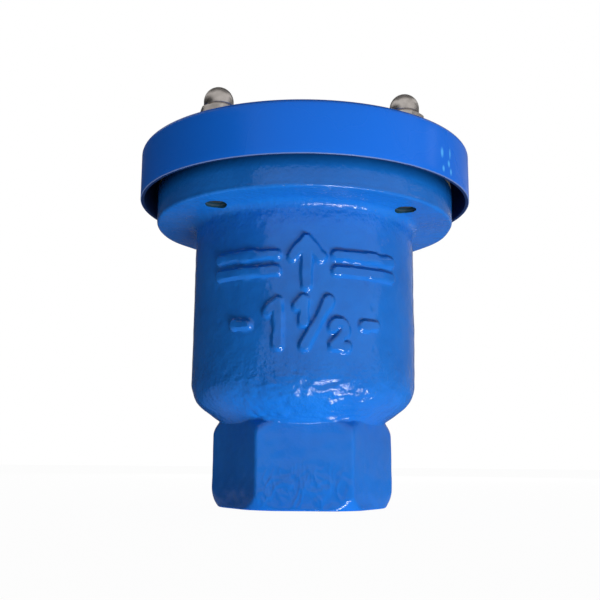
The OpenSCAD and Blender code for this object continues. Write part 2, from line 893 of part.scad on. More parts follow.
body();
guide_spider();
guide_bush();
spider_clip();
body_gasket();
bonnet();
seat_ring();
seat_retainer();
retainer_screws();
studs();
cap_spacers();
vent_cap();
cap_washers();
acorn_nuts();
plug();
orifice_jet();
pivot_pin();
pivot_clip();
lever();
orifice_button();
button_nut();
float_yoke();
float_upper_half();
float_lower_half();
guide_rod();
link_pin();
link_clip();
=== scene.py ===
"""Looks of an air release valve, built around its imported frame.

The file is laid out as an add-on: property groups hold the sizes and colours, each operator makes one
piece or a group of like pieces, and the stage operator sets out the floor, the lamps and the camera.
"""

import math

import bmesh
import bpy
import numpy as np
from mathutils import Matrix, Vector


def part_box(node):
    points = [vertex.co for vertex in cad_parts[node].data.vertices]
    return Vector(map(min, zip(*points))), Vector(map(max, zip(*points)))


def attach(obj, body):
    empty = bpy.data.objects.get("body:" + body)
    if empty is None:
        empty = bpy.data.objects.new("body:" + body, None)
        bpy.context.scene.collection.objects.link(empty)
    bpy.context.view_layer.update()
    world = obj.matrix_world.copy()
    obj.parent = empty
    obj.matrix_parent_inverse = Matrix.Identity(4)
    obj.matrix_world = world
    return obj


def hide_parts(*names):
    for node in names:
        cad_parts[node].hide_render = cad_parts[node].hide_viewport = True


bl_info = {
    "name": "Air Release Valve",
    "version": (1, 0, 0),
    "blender": (4, 5, 0),
    "location": "View3D > Sidebar > Valve",
    "description": "Builds the looks of an air release valve around its packed frame",
    "category": "Add Mesh",
}

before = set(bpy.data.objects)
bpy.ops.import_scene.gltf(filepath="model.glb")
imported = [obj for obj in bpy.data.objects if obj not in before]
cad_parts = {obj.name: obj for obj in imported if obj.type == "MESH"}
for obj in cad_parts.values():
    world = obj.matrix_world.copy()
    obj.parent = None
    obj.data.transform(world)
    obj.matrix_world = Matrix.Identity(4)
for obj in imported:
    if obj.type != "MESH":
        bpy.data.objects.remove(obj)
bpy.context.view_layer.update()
MM = 0.001
FULL_TURN = 2 * math.pi
FRONT = 1.5 * math.pi
WHITE = (1, 1, 1, 1)

# Heights and radii that the looks take from the frame
FLANGE_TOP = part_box("body")[1].z
CAP_LOW, CAP_TOP = (corner.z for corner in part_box("vent_cap"))
GASKET_LOW, GASKET_TOP = (corner.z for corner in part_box("body_gasket"))
WASHER_LOW, WASHER_TOP = (corner.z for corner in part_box("cap_washers"))
NUT_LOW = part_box("acorn_nuts")[0].z
STUD_LOW, STUD_TOP = (corner.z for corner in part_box("studs"))
WELD_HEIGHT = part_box("float_upper_half")[0].z
FLOAT_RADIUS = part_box("float_upper_half")[1].x
CLIP_LOW, CLIP_TOP = (corner.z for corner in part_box("spider_clip"))

# The guide spider's hub hangs below the seat of its ring
HUB_BELOW_SEAT = 3 * MM
SPIDER_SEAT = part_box("guide_spider")[0].z + HUB_BELOW_SEAT

# Radius of the inlet thread at its roots
THREAD_ROOT = 23.9 * MM

# Heights of the floor and of the mats on it
FLOOR_Z = -0.3 * MM
MAT_Z = -0.2 * MM

# Strength of the paint's bumps, and painted shadow of the cap's skirt on the flange's rim, by height as a
# share of the flange's
PAINT_RUNS = ((0.22, 0.12), (0.27, 1), (0.4, 1), (0.46, 0.3), (0.8, 0.3), (0.85, 1), (0.885, 1), (0.9, 0.4))
PAINTED_SHADOW_UNDER_CAP = ((0.945, 0), (0.98, 0.8), (1, 0.95))

# Pale band partway up the walls of the tapped holes, with painted shade below and above it, as (depth in
# millimetres, strength)
HOLE_PALE_BAND = ((0.35, 0), (0.5, 1), (0.65, 1), (0.85, 0))

# Painted glints on the cap's skirt, pale spots that stand in for a lamp's reflection: place, half width and
# half height in millimetres
PAINTED_GLINTS = (
    ((49.3, -45.2, 129.0), 1.1, 2.4),
    ((53.0, -40.9, 130.0), 0.7, 2.6),
    ((52.4, -41.6, 125.9), 1.1, 1.6),
    ((53.4, -40.4, 123.1), 1.0, 1.6),
    ((49.9, -44.6, 123.1), 1.0, 1.5),
)

# Turned metals: tint, roughness, strength of the patina, metallic
TURNED_METALS = {
    "turned_stainless": ("stainless", 0.2, 0.25, 1),
    "zinc_plate": ("zinc", 0.4, 0.5, 0.5),
    "satin_steel": ("satin", 0.27, 0.55, 1),
    "turned_bronze": ("bronze", 0.26, 0.5, 1),
}


def number(name, description, value, **options):
    """Number in a property group."""
    return bpy.props.FloatProperty(name=name, description=description, default=value, **options)


def length(name, description, millimetres):
    """Size in a property group, written in millimetres and kept in metres."""
    return number(name, description, millimetres * MM, unit="LENGTH", precision=5)


def angle(name, description, degrees):
    """Angle in a property group, written in degrees and kept in radians."""
    return number(name, description, math.radians(degrees), subtype="ANGLE")


def share(name, description, value):
    """Number from 0 to 1 in a property group."""
    return number(name, description, value, subtype="FACTOR")


def power(name, description, watts):
    """Power of a lamp in a property group."""
    return number(name, description, watts, unit="POWER")


def colour(name, description, *tint):
    """Linear colour in a property group."""
    return bpy.props.FloatVectorProperty(
        name=name, description=description, default=tint, subtype="COLOR", size=3, min=0, max=1
    )


class CastBodySizes(bpy.types.PropertyGroup):
    """Sizes of the cast body."""

    hex_flats: length("Hexagon flats", "Spanner size of the inlet hexagon", 61.2)
    hex_height: length("Hexagon height", "Height of the inlet hexagon", 32.5)
    hex_edge_r: length("Hexagon edges", "Rounding of the hexagon's upright edges", 2)
    hex_foot_r: length("Hexagon foot", "Rounding of the hexagon's lower edge", 0.6)
    hex_bevel: length("Hexagon bevel", "Depth of the upper bevels at the hexagon's corners", 2.4)
    foot_bevel: length("Foot bevel", "Depth of the lower bevels at the hexagon's corners", 2.6)
    barrel_r: length("Barrel radius", "Outside radius of the barrel", 44)
    chamber_r: length("Chamber radius", "Inside radius of the barrel", 38)
    shoulder_r: length("Shoulder rounding", "Rounding from the shoulder to the barrel", 12.5)
    shoulder_slope: angle("Shoulder slope", "Slope of the shoulder above the hexagon", 35)
    shoulder_blend: length("Shoulder blend", "Softness of the corner between hexagon and shoulder", 0.6)
    flange_r: length("Flange radius", "Radius of the flange's rim", 60)
    flange_t: length("Flange thickness", "Thickness of the flange", 14.5)
    flange_fillet: length("Flange fillet", "Rounding from the barrel to the flange", 3.6)
    flange_edge_r: length("Flange edge", "Rounding of the flange's lower edge", 1.2)
    thread_r: length("Thread radius", "Radius of the inlet thread at its roots", THREAD_ROOT / MM)
    thread_depth: length("Thread depth", "Depth of the inlet thread", 26)
    thread_pitch: length("Thread pitch", "Rise of the inlet thread in one turn", 2.309)
    thread_height: length("Thread height", "Height of the inlet thread's crests", 1.48)
    throat_r: length("Throat radius", "Radius of the throat above the thread", 20.5)
    spider_r: length("Spider seat radius", "Radius of the seat of the guide spider", 26)
    swell: length("Cast swell", "Depth of the casting's slow unevenness", 0.16)
    lumps: length("Paint lumps", "Depth of the lumps in the thick paint", 0.05)


class CastMarkSizes(bpy.types.PropertyGroup):
    """Sizes of the raised marks on the front of the barrel."""

    height: length("Mark height", "How far the marks stand out of the barrel", 1.5)
    stroke: length("Stroke", "Half of the width of a mark's stroke", 1.3)
    slope: length("Slope", "Width of the paint-filled slope beside a stroke", 1.3)
    ragged: length("Ragged edges", "How far the strokes' edges stray", 0.22)
    arrow_z: length("Arrow row", "Height of the middle of the arrow's row", 87.5)
    arrow_tall: length("Arrow height", "Height of the flow arrow", 16.5)
    bar_start: length("Bar start", "Distance from the arrow to the bars beside it", 11)
    bar_long: length("Bar length", "Length of the bars beside the arrow", 24)
    size_z: length("Numeral row", "Height of the middle of the size numerals", 65.5)
    size_tall: length("Numeral height", "Height of the size numerals", 16)


class CapSizes(bpy.types.PropertyGroup):
    """Sizes of the pressed vent cap."""

    radius: length("Cap radius", "Outside radius of the cap", 66.9)
    sheet: length("Sheet", "Thickness of the cap's sheet", 1.5)
    corner_r: length("Corner", "Outside rounding of the cap's top edge", 1.9)
    dent: length("Waviness", "Depth of the slow waves in the skirt", 0.09)


class FastenerSizes(bpy.types.PropertyGroup):
    """Sizes of the studs, washers and domed nuts."""

    count: bpy.props.IntProperty(name="Studs", description="Number of studs on the circle", default=4, min=1)
    circle_r: length("Stud circle", "Radius of the stud circle", 50)
    turn: angle("Turn", "Turn of the stud circle against the hexagon", 3)
    stud_r: length("Stud radius", "Radius of the studs over the thread", 4)
    stud_pitch: length("Stud pitch", "Rise of the studs' thread in one turn", 1.25)
    stud_thread: length("Stud thread", "Height of the studs' thread", 0.6)
    tapped_r: length("Tapped hole", "Radius of the tapped holes in the flange", 4)
    plain_hole_r: length("Plain hole", "Radius of the plain holes for the studs", 4.5)
    washer_r: length("Washer radius", "Radius of the washers", 8)
    nut_flats: length("Nut flats", "Spanner size of the domed nuts", 13)
    nut_height: length("Nut height", "Height of the domed nuts", 14.4)
    nut_hex: length("Nut hexagon", "Height of the nuts' hexagon", 5.7)
    dome_r: length("Dome radius", "Radius of the nuts' dome", 5.6)
    groove: length("Groove", "Depth of the groove under the dome", 0.5)
    spin: angle("Nut spin", "Turn from one tightened nut to the next", 88)


class FinishColours(bpy.types.PropertyGroup):
    """Colours of the finishes."""

    casting: colour("Casting paint", "Thick gloss paint on the cast pieces", 0.009, 0.158, 0.585)
    # Scaled down, this colour is also the painted shadow under the cap
    casting_deep: colour("Casting paint, deep", "The same paint where it lies thick", 0.006, 0.122, 0.49)
    sheet: colour("Sheet paint", "Paint on the pressed cap", 0.003, 0.157, 0.78)
    # Painted glints: pale spots on the skirt in place of a lamp's reflection
    rubbed: colour("Rubbed paint", "Pale spots where the sheet's paint is rubbed", 0.09, 0.46, 1.0)
    dust: colour("Dust", "Specks of dust in the sheet's paint", 0.25, 0.35, 0.5)
    # Painted shade: the inside of the cap is given a near-black colour
    sheet_inside: colour("Sheet inside", "Thin dark paint inside the pressed cap", 0.003, 0.02, 0.09)
    # Paler paint on the lip's cut edge, partly thin paint and partly a painted highlight along the lip
    cut_edge: colour("Cut edge", "Thin paint on the sheet's cut edges", 0.12, 0.2, 0.46)
    iron: colour("Bare iron", "Machined cast iron in the inlet", 0.26, 0.25, 0.235)
    # Pale colour of a band partway up the walls of the tapped holes
    tapped: colour("Tapped hole", "Rusty cast iron in the tapped holes", 0.5, 0.47, 0.5)
    # Painted shade: the dark colour of the tapped holes' walls
    hole: colour("Hole", "Oily shade in the tapped holes", 0.012, 0.055, 0.09)
    stainless: colour("Stainless", "Turned stainless steel", 0.5, 0.47, 0.44)
    # Painted shade: the studs' zinc is nearly black, so that their ends show dark deep in the tapped holes
    zinc: colour("Zinc", "Dulled zinc plate on the studs", 0.05, 0.06, 0.065)
    satin: colour("Satin steel", "Satin stainless of the domed nuts", 0.5, 0.46, 0.43)
    pressed: colour("Pressed stainless", "Pressed and ground stainless sheet", 0.6, 0.6, 0.59)
    bronze: colour("Bronze", "Turned bronze", 0.56, 0.36, 0.15)
    # The fibre is dark partly from dirt and partly as painted shade in the gap under the cap
    fibre: colour("Gasket fibre", "Compressed fibre sheet", 0.07, 0.07, 0.066)
    rubber: colour("Rubber", "Moulded seal rubber", 0.012, 0.012, 0.013)
    floor: colour("Floor", "Plain pale floor", 0.9, 0.9, 0.9)


class StageSettings(bpy.types.PropertyGroup):
    """Camera, lamps and backdrop."""

    camera_far: length("Camera distance", "Distance of the camera from the valve's axis", 350)
    camera_side: length("Camera offset", "Sideways offset of the camera", -1.5)
    camera_z: length("Camera height", "Height of the camera above the floor", 16.7)
    camera_turn: angle("Camera turn", "Turn of the camera about the valve's axis", -1)
    camera_pitch: angle("Camera pitch", "How far the camera looks up", 10.54)
    camera_roll: angle("Camera roll", "Roll of the camera", 0.52)
    lens: number("Lens", "Focal length in millimetres", 52.7)
    ambient: share("Ambient", "Strength of the soft light from all round", 0.24)
    key_power: power("Key", "Power of the main lamp", 6.2)
    top_power: power("Top light", "Power of the lamp above", 1.3)
    back_power: power("Back light", "Power of the lamp behind", 3.2)
    rim_power: power("Rim light", "Power of the small lamp at the side", 0.05)
    floor_glow: share("Floor whiteness", "How far the floor shows as the white backdrop", 0.97)


class Socket:
    """Output of a node. Arithmetic on it adds Math nodes to its tree."""

    def __init__(self, graph, link):
        self.graph = graph
        self.link = link

    def _math(self, operation, *values):
        return self.graph.add("ShaderNodeMath", {"operation": operation}, dict(enumerate(values)))

    def __add__(self, other):
        return self._math("ADD", self, other)

    def __sub__(self, other):
        return self._math("SUBTRACT", self, other)

    def __rsub__(self, other):
        return self._math("SUBTRACT", other, self)

    def __mul__(self, other):
        return self._math("MULTIPLY", self, other)

    def __truediv__(self, other):
        return self._math("DIVIDE", self, other)

    def __rtruediv__(self, other):
        return self._math("DIVIDE", other, self)

    __radd__ = __add__
    __rmul__ = __mul__


class Graph:
    """Node tree under construction, with the material that it fills, if any."""

    def __init__(self, tree, material=None):
        self.tree = tree
        self.material = material
        tree.nodes.clear()

    def add(self, kind, settings=None, sockets=None, output=0):
        """Adds a node of a type, makes its settings, then fills or links its sockets."""
        node = self.tree.nodes.new(kind)
        for key, value in (settings or {}).items():
            if key == "stops":
                self._set_stops(node.color_ramp, value)
            else:
                setattr(node, key, value)
        for key, value in (sockets or {}).items():
            if isinstance(value, Socket):
                self.tree.links.new(value.link, node.inputs[key])
            else:
                node.inputs[key].default_value = value
        return Socket(self, node.outputs[output]) if node.outputs else None

    @staticmethod
    def _set_stops(ramp, stops):
        while len(ramp.elements) < len(stops):
            ramp.elements.new(1)
        for element, (position, value) in zip(ramp.elements, stops):
            element.position = position
            element.color = (value, value, value, 1)

    def place(self, stretch=(1, 1, 1)):
        """Object coordinates, stretched along the axes."""
        coordinates = self.add("ShaderNodeTexCoord", output="Object")
        return self.add("ShaderNodeMapping", {}, {"Vector": coordinates, "Scale": stretch})

    def attribute(self, name):
        """Attribute that the piece's faces carry."""
        return self.add("ShaderNodeAttribute", {"attribute_name": name}, output="Fac")

    def distance(self, place):
        """Distance of a place from the origin."""
        return self.add("ShaderNodeVectorMath", {"operation": "LENGTH"}, {0: place}, "Value")

    def noise(self, place, grain, detail=2):
        """Noise from 0 to 1 with grains of the given size in metres."""
        sockets = {"Vector": place, "Scale": 1 / grain, "Detail": detail}
        return self.add("ShaderNodeTexNoise", {}, sockets)

    def ramp(self, value, low, high):
        """The value spread so that low becomes 0 and high becomes 1."""
        return self.band(value, [(low, 0), (high, 1)])

    def band(self, value, stops):
        """Shade along stops of (value, shade)."""
        return self.add("ShaderNodeValToRGB", {"stops": stops}, {"Fac": value})

    def mix(self, factor, first, second):
        """Colour between two colours."""
        return self.add("ShaderNodeMix", {"data_type": "RGBA"}, {0: factor, 6: first, 7: second}, 2)

    def bump(self, height, depth, strength=1):
        """Normal of a surface with bumps of the given depth in metres."""
        sockets = {"Height": height, "Distance": depth, "Strength": strength}
        return self.add("ShaderNodeBump", {}, sockets)

    def spot(self, place, middle, wide, tall):
        """1 in the heart of an upright spot, falling to 0 at its edge."""
        scale = Vector((1 / wide, 1 / wide, 1 / tall))
        sockets = {"Vector": place, "Location": -Vector(middle) * scale, "Scale": scale}
        around = self.add("ShaderNodeMapping", {}, sockets)
        return 1 - self.ramp(self.distance(around), 0.35, 1)

    def along_z(self, value):
        """Vector with a height along Z, or a turn about Z, and nothing else."""
        return self.add("ShaderNodeCombineXYZ", {}, {"Z": value})

    def end(self, shader):
        """Ends the material in a shader."""
        self.add("ShaderNodeOutputMaterial", {}, {"Surface": shader})
        return self.material

    def surface(self, sockets):
        """Ends the material in a Principled shader."""
        return self.end(self.add("ShaderNodeBsdfPrincipled", {}, sockets))


def rgba(value, scale=1):
    """Four-part colour for a socket."""
    return (value[0] * scale, value[1] * scale, value[2] * scale, 1)


def material_graph(name):
    """Graph of a new, empty material."""
    material = bpy.data.materials.new(name)
    material.use_nodes = True
    return Graph(material.node_tree, material)


def casting_paint(colours):
    """Thick gloss paint on rough iron; bare where the bare_metal attribute says that it is machined. It
    carries a painted shadow under the cap and painted shade in the thread's roots and the tapped holes.
    """
    graph = material_graph("casting_paint")
    place = graph.place()
    cloud = graph.ramp(graph.noise(place, 22 * MM, 3), 0.3, 0.7)
    blotch = graph.noise(place, 5 * MM, 3)
    lumps = graph.noise(place, 2.6 * MM, 3)
    grit = graph.noise(place, 1.2 * MM, 2)
    bare = graph.attribute("bare_metal")
    paint = graph.mix(cloud, rgba(colours.casting_deep), rgba(colours.casting))
    paint = graph.mix(blotch * 0.35, paint, rgba(colours.casting, 1.12))
    height = graph.add("ShaderNodeSeparateXYZ", {}, {0: place}, "Z") / FLANGE_TOP
    # Painted shadow: the rim is darkened towards the flange's top, where the cap's skirt shades it
    paint = graph.mix(graph.band(height, PAINTED_SHADOW_UNDER_CAP), paint, rgba(colours.casting_deep, 0.14))
    # Painted shade: the bare iron turns darker towards the thread's roots, as shade in its grooves
    painted_root_shade = graph.ramp(graph.distance(graph.place((1, 1, 0))) / THREAD_ROOT, 0.955, 0.995)
    metal = graph.mix(bare, paint, graph.mix(painted_root_shade, rgba(colours.iron), rgba(colours.iron, 0.2)))
    under = 1 - bpy.context.scene.valve_body.flange_t / FLANGE_TOP
    # Painted shade in the tapped holes: their walls are dark, with a pale band partway up
    pale_band = graph.band(height, [(under + depth * MM / FLANGE_TOP, shade) for depth, shade in HOLE_PALE_BAND])
    hole = graph.mix(pale_band, rgba(colours.hole), rgba(colours.tapped))
    return graph.surface(
        {
            "Base Color": graph.mix(graph.attribute("tapped_hole"), metal, hole),
            "Roughness": 0.1 + blotch * 0.16 + bare * 0.2,
            "Metallic": bare * 0.6,
            "Specular IOR Level": 0.34,
            "Normal": graph.bump((lumps + grit * 0.6) * graph.band(height, PAINT_RUNS), 0.36 * MM),
        }
    )


def sheet_paint(colours):
    """Smooth paint on pressed sheet, with a faint orange peel and slow waves of shade. Pale spots on the
    skirt are painted glints, the inside is painted dark as shade, and the lip's cut edge is paler, partly as
    a painted highlight.
    """
    graph = material_graph("sheet_paint")
    place = graph.place()
    cloud = graph.noise(place, 30 * MM, 2)
    peel = graph.noise(place, 0.9 * MM, 1)
    dust = graph.ramp(graph.noise(place, 0.5 * MM, 2), 0.66, 0.8)
    shaded_inside = graph.attribute("thin_paint")
    paint = graph.mix(cloud, rgba(colours.sheet, 0.94), rgba(colours.sheet, 1.06))
    paint = graph.mix(dust * 0.06, paint, rgba(colours.dust))
    # Painted glints: pale spots in place of a lamp's reflection in the skirt
    for middle, wide, tall in PAINTED_GLINTS:
        rubbed = graph.spot(place, Vector(middle) * MM, wide * MM, tall * MM)
        paint = graph.mix(rubbed, paint, rgba(colours.rubbed))
    # Painted shade inside the cap
    paint = graph.mix(shaded_inside, paint, rgba(colours.sheet_inside))
    return graph.surface(
        {
            # Paler cut edge of the lip: thin paint and a painted highlight
            "Base Color": graph.mix(graph.attribute("cut_edge"), paint, rgba(colours.cut_edge)),
            "Roughness": 0.22 + cloud * 0.1 + shaded_inside * 0.3,
            "Specular IOR Level": 0.24,
            "Normal": graph.bump(peel, 0.02 * MM, 0.5),
        }
    )


def turned_metal(name, tint, rough, mottle, metallic):
    """Turned metal, with lathe rings along Z and a light patina."""
    graph = material_graph(name)
    rings = graph.noise(graph.place((1, 1, 30)), 6 * MM, 2)
    patina = graph.ramp(graph.noise(graph.place(), 3 * MM, 3), 0.35, 0.75)
    return graph.surface(
        {
            "Base Color": graph.mix(patina * mottle, rgba(tint), rgba(tint, 0.55)),
            "Roughness": rough + rings * 0.12 + patina * 0.1,
            "Metallic": metallic,
            "Normal": graph.bump(rings, 0.02 * MM, 0.5),
        }
    )


def ground_stainless(colours):
    """Pressed stainless sheet with fine grinding lines round the float."""
    graph = material_graph("ground_stainless")
    lines = graph.noise(graph.place((1, 1, 60)), 8 * MM, 3)
    stain = graph.noise(graph.place(), 14 * MM, 2)
    return graph.surface(
        {
            "Base Color": graph.mix(stain * 0.4, rgba(colours.pressed), rgba(colours.pressed, 0.7)),
            "Roughness": 0.22 + lines * 0.16,
            "Metallic": 1,
            "Normal": graph.bump(lines, 0.01 * MM, 0.6),
        }
    )


def fibre_sheet(colours):
    """Compressed fibre sheet with short pale and dark fibres."""
    graph = material_graph("fibre_sheet")
    fibres = graph.noise(graph.place((1, 1, 4)), 0.8 * MM, 4)
    return graph.surface(
        {
            "Base Color": graph.mix(fibres, rgba(colours.fibre, 0.7), rgba(colours.fibre, 1.2)),
            "Roughness": 0.75 + fibres * 0.2,
            "Specular IOR Level": 0.1,
            "Normal": graph.bump(fibres, 0.12 * MM, 0.8),
        }
    )


def moulded_rubber(colours):
    """Matt moulded rubber."""
    graph = material_graph("moulded_rubber")
    skin = graph.noise(graph.place(), 0.6 * MM, 3)
    return graph.surface(
        {
            "Base Color": graph.mix(skin, rgba(colours.rubber, 0.8), rgba(colours.rubber, 1.7)),
            "Roughness": 0.5 + skin * 0.25,
            "Normal": graph.bump(skin, 0.05 * MM, 0.5),
        }
    )


def finish(name):
    """The named finish, made when it is first asked for. The frame's own materials have other names."""
    if name in bpy.data.materials:
        return bpy.data.materials[name]
    colours = bpy.context.scene.valve_colours
    if name in TURNED_METALS:
        tint, rough, mottle, metallic = TURNED_METALS[name]
        return turned_metal(name, getattr(colours, tint), rough, mottle, metallic)
    makers = (casting_paint, sheet_paint, ground_stainless, fibre_sheet, moulded_rubber)
    return {maker.__name__: maker for maker in makers}[name](colours)


def dress(finish_name, *nodes):
    """Gives CAD nodes that stay visible their finish."""
    for node in nodes:
        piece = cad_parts[node]
        piece.data.materials.clear()
        piece.data.materials.append(finish(finish_name))


def arc(centre_r, centre_z, radius, start, end, steps):
    """Points (radius, height) of an arc in a turned profile, its angles in degrees."""
    turns = np.radians(np.linspace(start, end, steps + 1))
    return [(centre_r + radius * math.cos(t), centre_z + radius * math.sin(t)) for t in turns]


def soft_max(first, second, blend):
    """The larger of two radii, with the corner between them rounded off."""
    side = np.clip(0.5 + 0.5 * (first - second) / blend, 0, 1)
    return second + (first - second) * side + blend * side * (1 - side)


def soft_min(first, second, blend):
    """The smaller of two radii, with the corner between them rounded off."""
    return -soft_max(-first, -second, blend)


def soft_step(value):
    """Smooth step from 0 to 1."""
    value = np.clip(value, 0, 1)
    return value * value * (3 - 2 * value)


def at_front(angles, reach, fade):
    """1 at the front, falling to 0 over the last degrees of its reach to either side."""
    return soft_step((math.radians(reach) - np.abs(angles - FRONT)) / math.radians(fade))


def hexagon_radius(angles, flats, edge_r):
    """Distance from the axis to a hexagon with round upright edges, with a corner on +X."""
    apothem = flats / 2
    reach = (apothem - edge_r) / math.cos(math.pi / 6)
    turn = np.mod(angles, math.pi / 3)
    from_corner = np.minimum(turn, math.pi / 3 - turn)
    flat = apothem / np.cos(math.pi / 6 - from_corner)
    across = np.maximum(edge_r**2 - (reach * np.sin(from_corner)) ** 2, 0)
    edge = reach * np.cos(from_corner) + np.sqrt(across)
    touch = math.atan2(edge_r / 2, reach + edge_r * math.cos(math.pi / 6))
    return np.where(from_corner < touch, edge, flat)


def ripple(points, wavelength, seed):
    """Smooth unevenness from about -1 to 1 at each point, made of waves in fixed directions."""
    draw = np.random.default_rng(seed)
    total = np.zeros(points.shape[:-1])
    waves = 60
    for _ in range(waves):
        direction = draw.normal(size=3)
        direction *= FULL_TURN / (wavelength * 2 ** draw.uniform(-0.7, 1.3) * np.linalg.norm(direction))
        total += np.sin(points @ direction + draw.uniform(0, FULL_TURN))
    return total / math.sqrt(waves)


def folds(points, wavelength, seed):
    """Height from 0 to about 1 of thin curved creases, as thick paint leaves where it has run."""
    bends = [ripple(points, 2 * wavelength, seed + axis) for axis in range(3)]
    bent = points + 0.5 * wavelength * np.stack(bends, axis=-1)
    crease = np.exp(-((ripple(bent * (1, 1, 0.6), wavelength, seed + 3) / 0.35) ** 2))
    return crease * soft_step(0.5 + 0.6 * ripple(points, 3 * wavelength, seed + 4))


def even_angles(columns):
    """Angles of evenly spaced columns around the Z axis."""
    return np.linspace(0, FULL_TURN, columns, endpoint=False)


def rings(angles, rows):
    """Radii and heights of rings around the Z axis, from rows of (radius or radii, height)."""
    radii = np.array([np.broadcast_to(r, angles.shape) for r, _ in rows])
    heights = np.array([np.full(angles.shape, z) for _, z in rows])
    return radii, heights


def round_points(angles, radii, heights):
    """Points at angles, radii and heights around the Z axis."""
    return np.stack([radii * np.cos(angles), radii * np.sin(angles), heights], axis=-1)


def linked(name, data):
    """New object in the scene."""
    piece = bpy.data.objects.new(name, data)
    bpy.context.scene.collection.objects.link(piece)
    return piece


def empty_piece(name):
    """Piece without points, for a tree to fill."""
    return linked(name, bpy.data.meshes.new(name))


def built_mesh(name, build):
    """Mesh of a finished bmesh."""
    mesh = bpy.data.meshes.new(name)
    build.to_mesh(mesh)
    build.free()
    return mesh


def smooth(mesh, sharp):
    """Shades a mesh smooth, apart from edges sharper than an angle in degrees."""
    mesh.shade_smooth()
    mesh.set_sharp_from_angle(angle=math.radians(sharp))


def ring_piece(name, points, closed, material, sharp=35):
    """Piece from rings of points: a closed one joins its last ring to its first, an open one has ends."""
    rows, columns = points.shape[:2]
    index = np.arange(rows * columns).reshape(rows, columns)
    lower = index if closed else index[:-1]
    upper = np.roll(index, -1, axis=0) if closed else index[1:]
    faces = np.stack([lower, np.roll(lower, -1, 1), np.roll(upper, -1, 1), upper], axis=-1)
    mesh = bpy.data.meshes.new(name)
    mesh.from_pydata(points.reshape(-1, 3).tolist(), [], faces.reshape(-1, 4).tolist())
    build = bmesh.new()
    build.from_mesh(mesh)
    bmesh.ops.remove_doubles(build, verts=build.verts, dist=1e-7)
    bmesh.ops.recalc_face_normals(build, faces=build.faces)
    build.to_mesh(mesh)
    build.free()
    mesh.materials.append(material)
    smooth(mesh, sharp)
    return linked(name, mesh)


def turned_piece(name, profile, columns, closed, material):
    """Piece turned from a profile of (radius, height) points."""
    angles = even_angles(columns)
    return ring_piece(name, round_points(angles, *rings(angles, profile)), closed, material)


def freeze(piece):
    """Turns a piece with modifiers into its plain mesh."""
    depsgraph = bpy.context.evaluated_depsgraph_get()
    mesh = bpy.data.meshes.new_from_object(piece.evaluated_get(depsgraph), depsgraph=depsgraph)
    old = piece.data
    piece.modifiers.clear()
    piece.data = mesh
    bpy.data.meshes.remove(old)
    mesh.name = piece.name


def face_middles(mesh):
    """Middles of a mesh's faces, one row each."""
    middles = np.empty(3 * len(mesh.polygons))
    mesh.polygons.foreach_get("center", middles)
    return middles.reshape(-1, 3)


def mark_faces(mesh, name, faces):
    """Writes an attribute that the finish reads: 1 on the given faces, 0 on the others."""
    sides = np.empty(len(mesh.polygons), dtype=np.int32)
    mesh.polygons.foreach_get("loop_total", sides)
    attribute = mesh.attributes.new(name, "FLOAT", "CORNER")
    attribute.data.foreach_set("value", np.repeat(np.asarray(faces, dtype=np.float32), sides))


def stud_angles(sizes):
    """Angles of the stud axes."""
    step = FULL_TURN / sizes.count
    return [sizes.turn + (i + 0.5) * step for i in range(sizes.count)]


def drill_studs(piece, radius, low, high, sharp=35):
    """Cuts the stud holes through a piece."""
    sizes = bpy.context.scene.valve_fasteners
    size = {"segments": 48, "radius1": radius, "radius2": radius, "depth": high - low}
    build = bmesh.new()
    for turn in stud_angles(sizes):
        place = Matrix.Rotation(turn, 4, "Z") @ Matrix.Translation((sizes.circle_r, 0, (low + high) / 2))
        bmesh.ops.create_cone(build, cap_ends=True, matrix=place, **size)
    drills = linked("stud_drills", built_mesh("stud_drills", build))
    cut = piece.modifiers.new("stud_holes", "BOOLEAN")
    cut.operation = "DIFFERENCE"
    cut.solver = "EXACT"
    cut.object = drills
    freeze(piece)
    bpy.data.objects.remove(drills)
    smooth(piece.data, sharp)


def new_tree(name, **inputs):
    """Geometry Nodes tree with named inputs, its graph and its input sockets."""
    tree = bpy.data.node_groups.new(name, "GeometryNodeTree")
    tree.interface.new_socket("Geometry", in_out="OUTPUT", socket_type="NodeSocketGeometry")
    for label, kind in inputs.items():
        tree.interface.new_socket(label, in_out="INPUT", socket_type="NodeSocket" + kind)
    graph = Graph(tree)
    node = tree.nodes.new("NodeGroupInput")
    return graph, {label: Socket(graph, node.outputs[label]) for label in inputs}


def end_tree(graph, geometry, move, material):
    """Ends a tree in plain geometry, moved or turned to its place, with its finish."""
    moved = graph.add("GeometryNodeTransform", {}, {"Geometry": geometry, **move})
    real = graph.add("GeometryNodeRealizeInstances", {}, {"Geometry": moved})
    dressed = graph.add("GeometryNodeSetMaterial", {}, {"Geometry": real, "Material": material})
    graph.add("NodeGroupOutput", {}, {"Geometry": dressed})
    return graph.tree


def on_stud_circle():
    """Tree that sets copies of a piece, made on the Z axis, on every stud axis."""
    graph, given = new_tree(
        "on_stud_circle",
        Geometry="Geometry",
        Count="Int",
        Radius="Float",
        Turn="Float",
        Spin="Float",
        Finish="Material",
    )
    circle = graph.add("GeometryNodeMeshCircle", {}, {"Vertices": given["Count"], "Radius": given["Radius"]})
    step = FULL_TURN / given["Count"]
    spin = graph.along_z(graph.add("GeometryNodeInputIndex") * (step + given["Spin"]))
    sockets = {"Points": circle, "Instance": given["Geometry"], "Rotation": spin}
    copies = graph.add("GeometryNodeInstanceOnPoints", {}, sockets)
    turn = graph.along_z(given["Turn"] + step * 0.5)
    return end_tree(graph, copies, {"Rotation": turn}, given["Finish"])


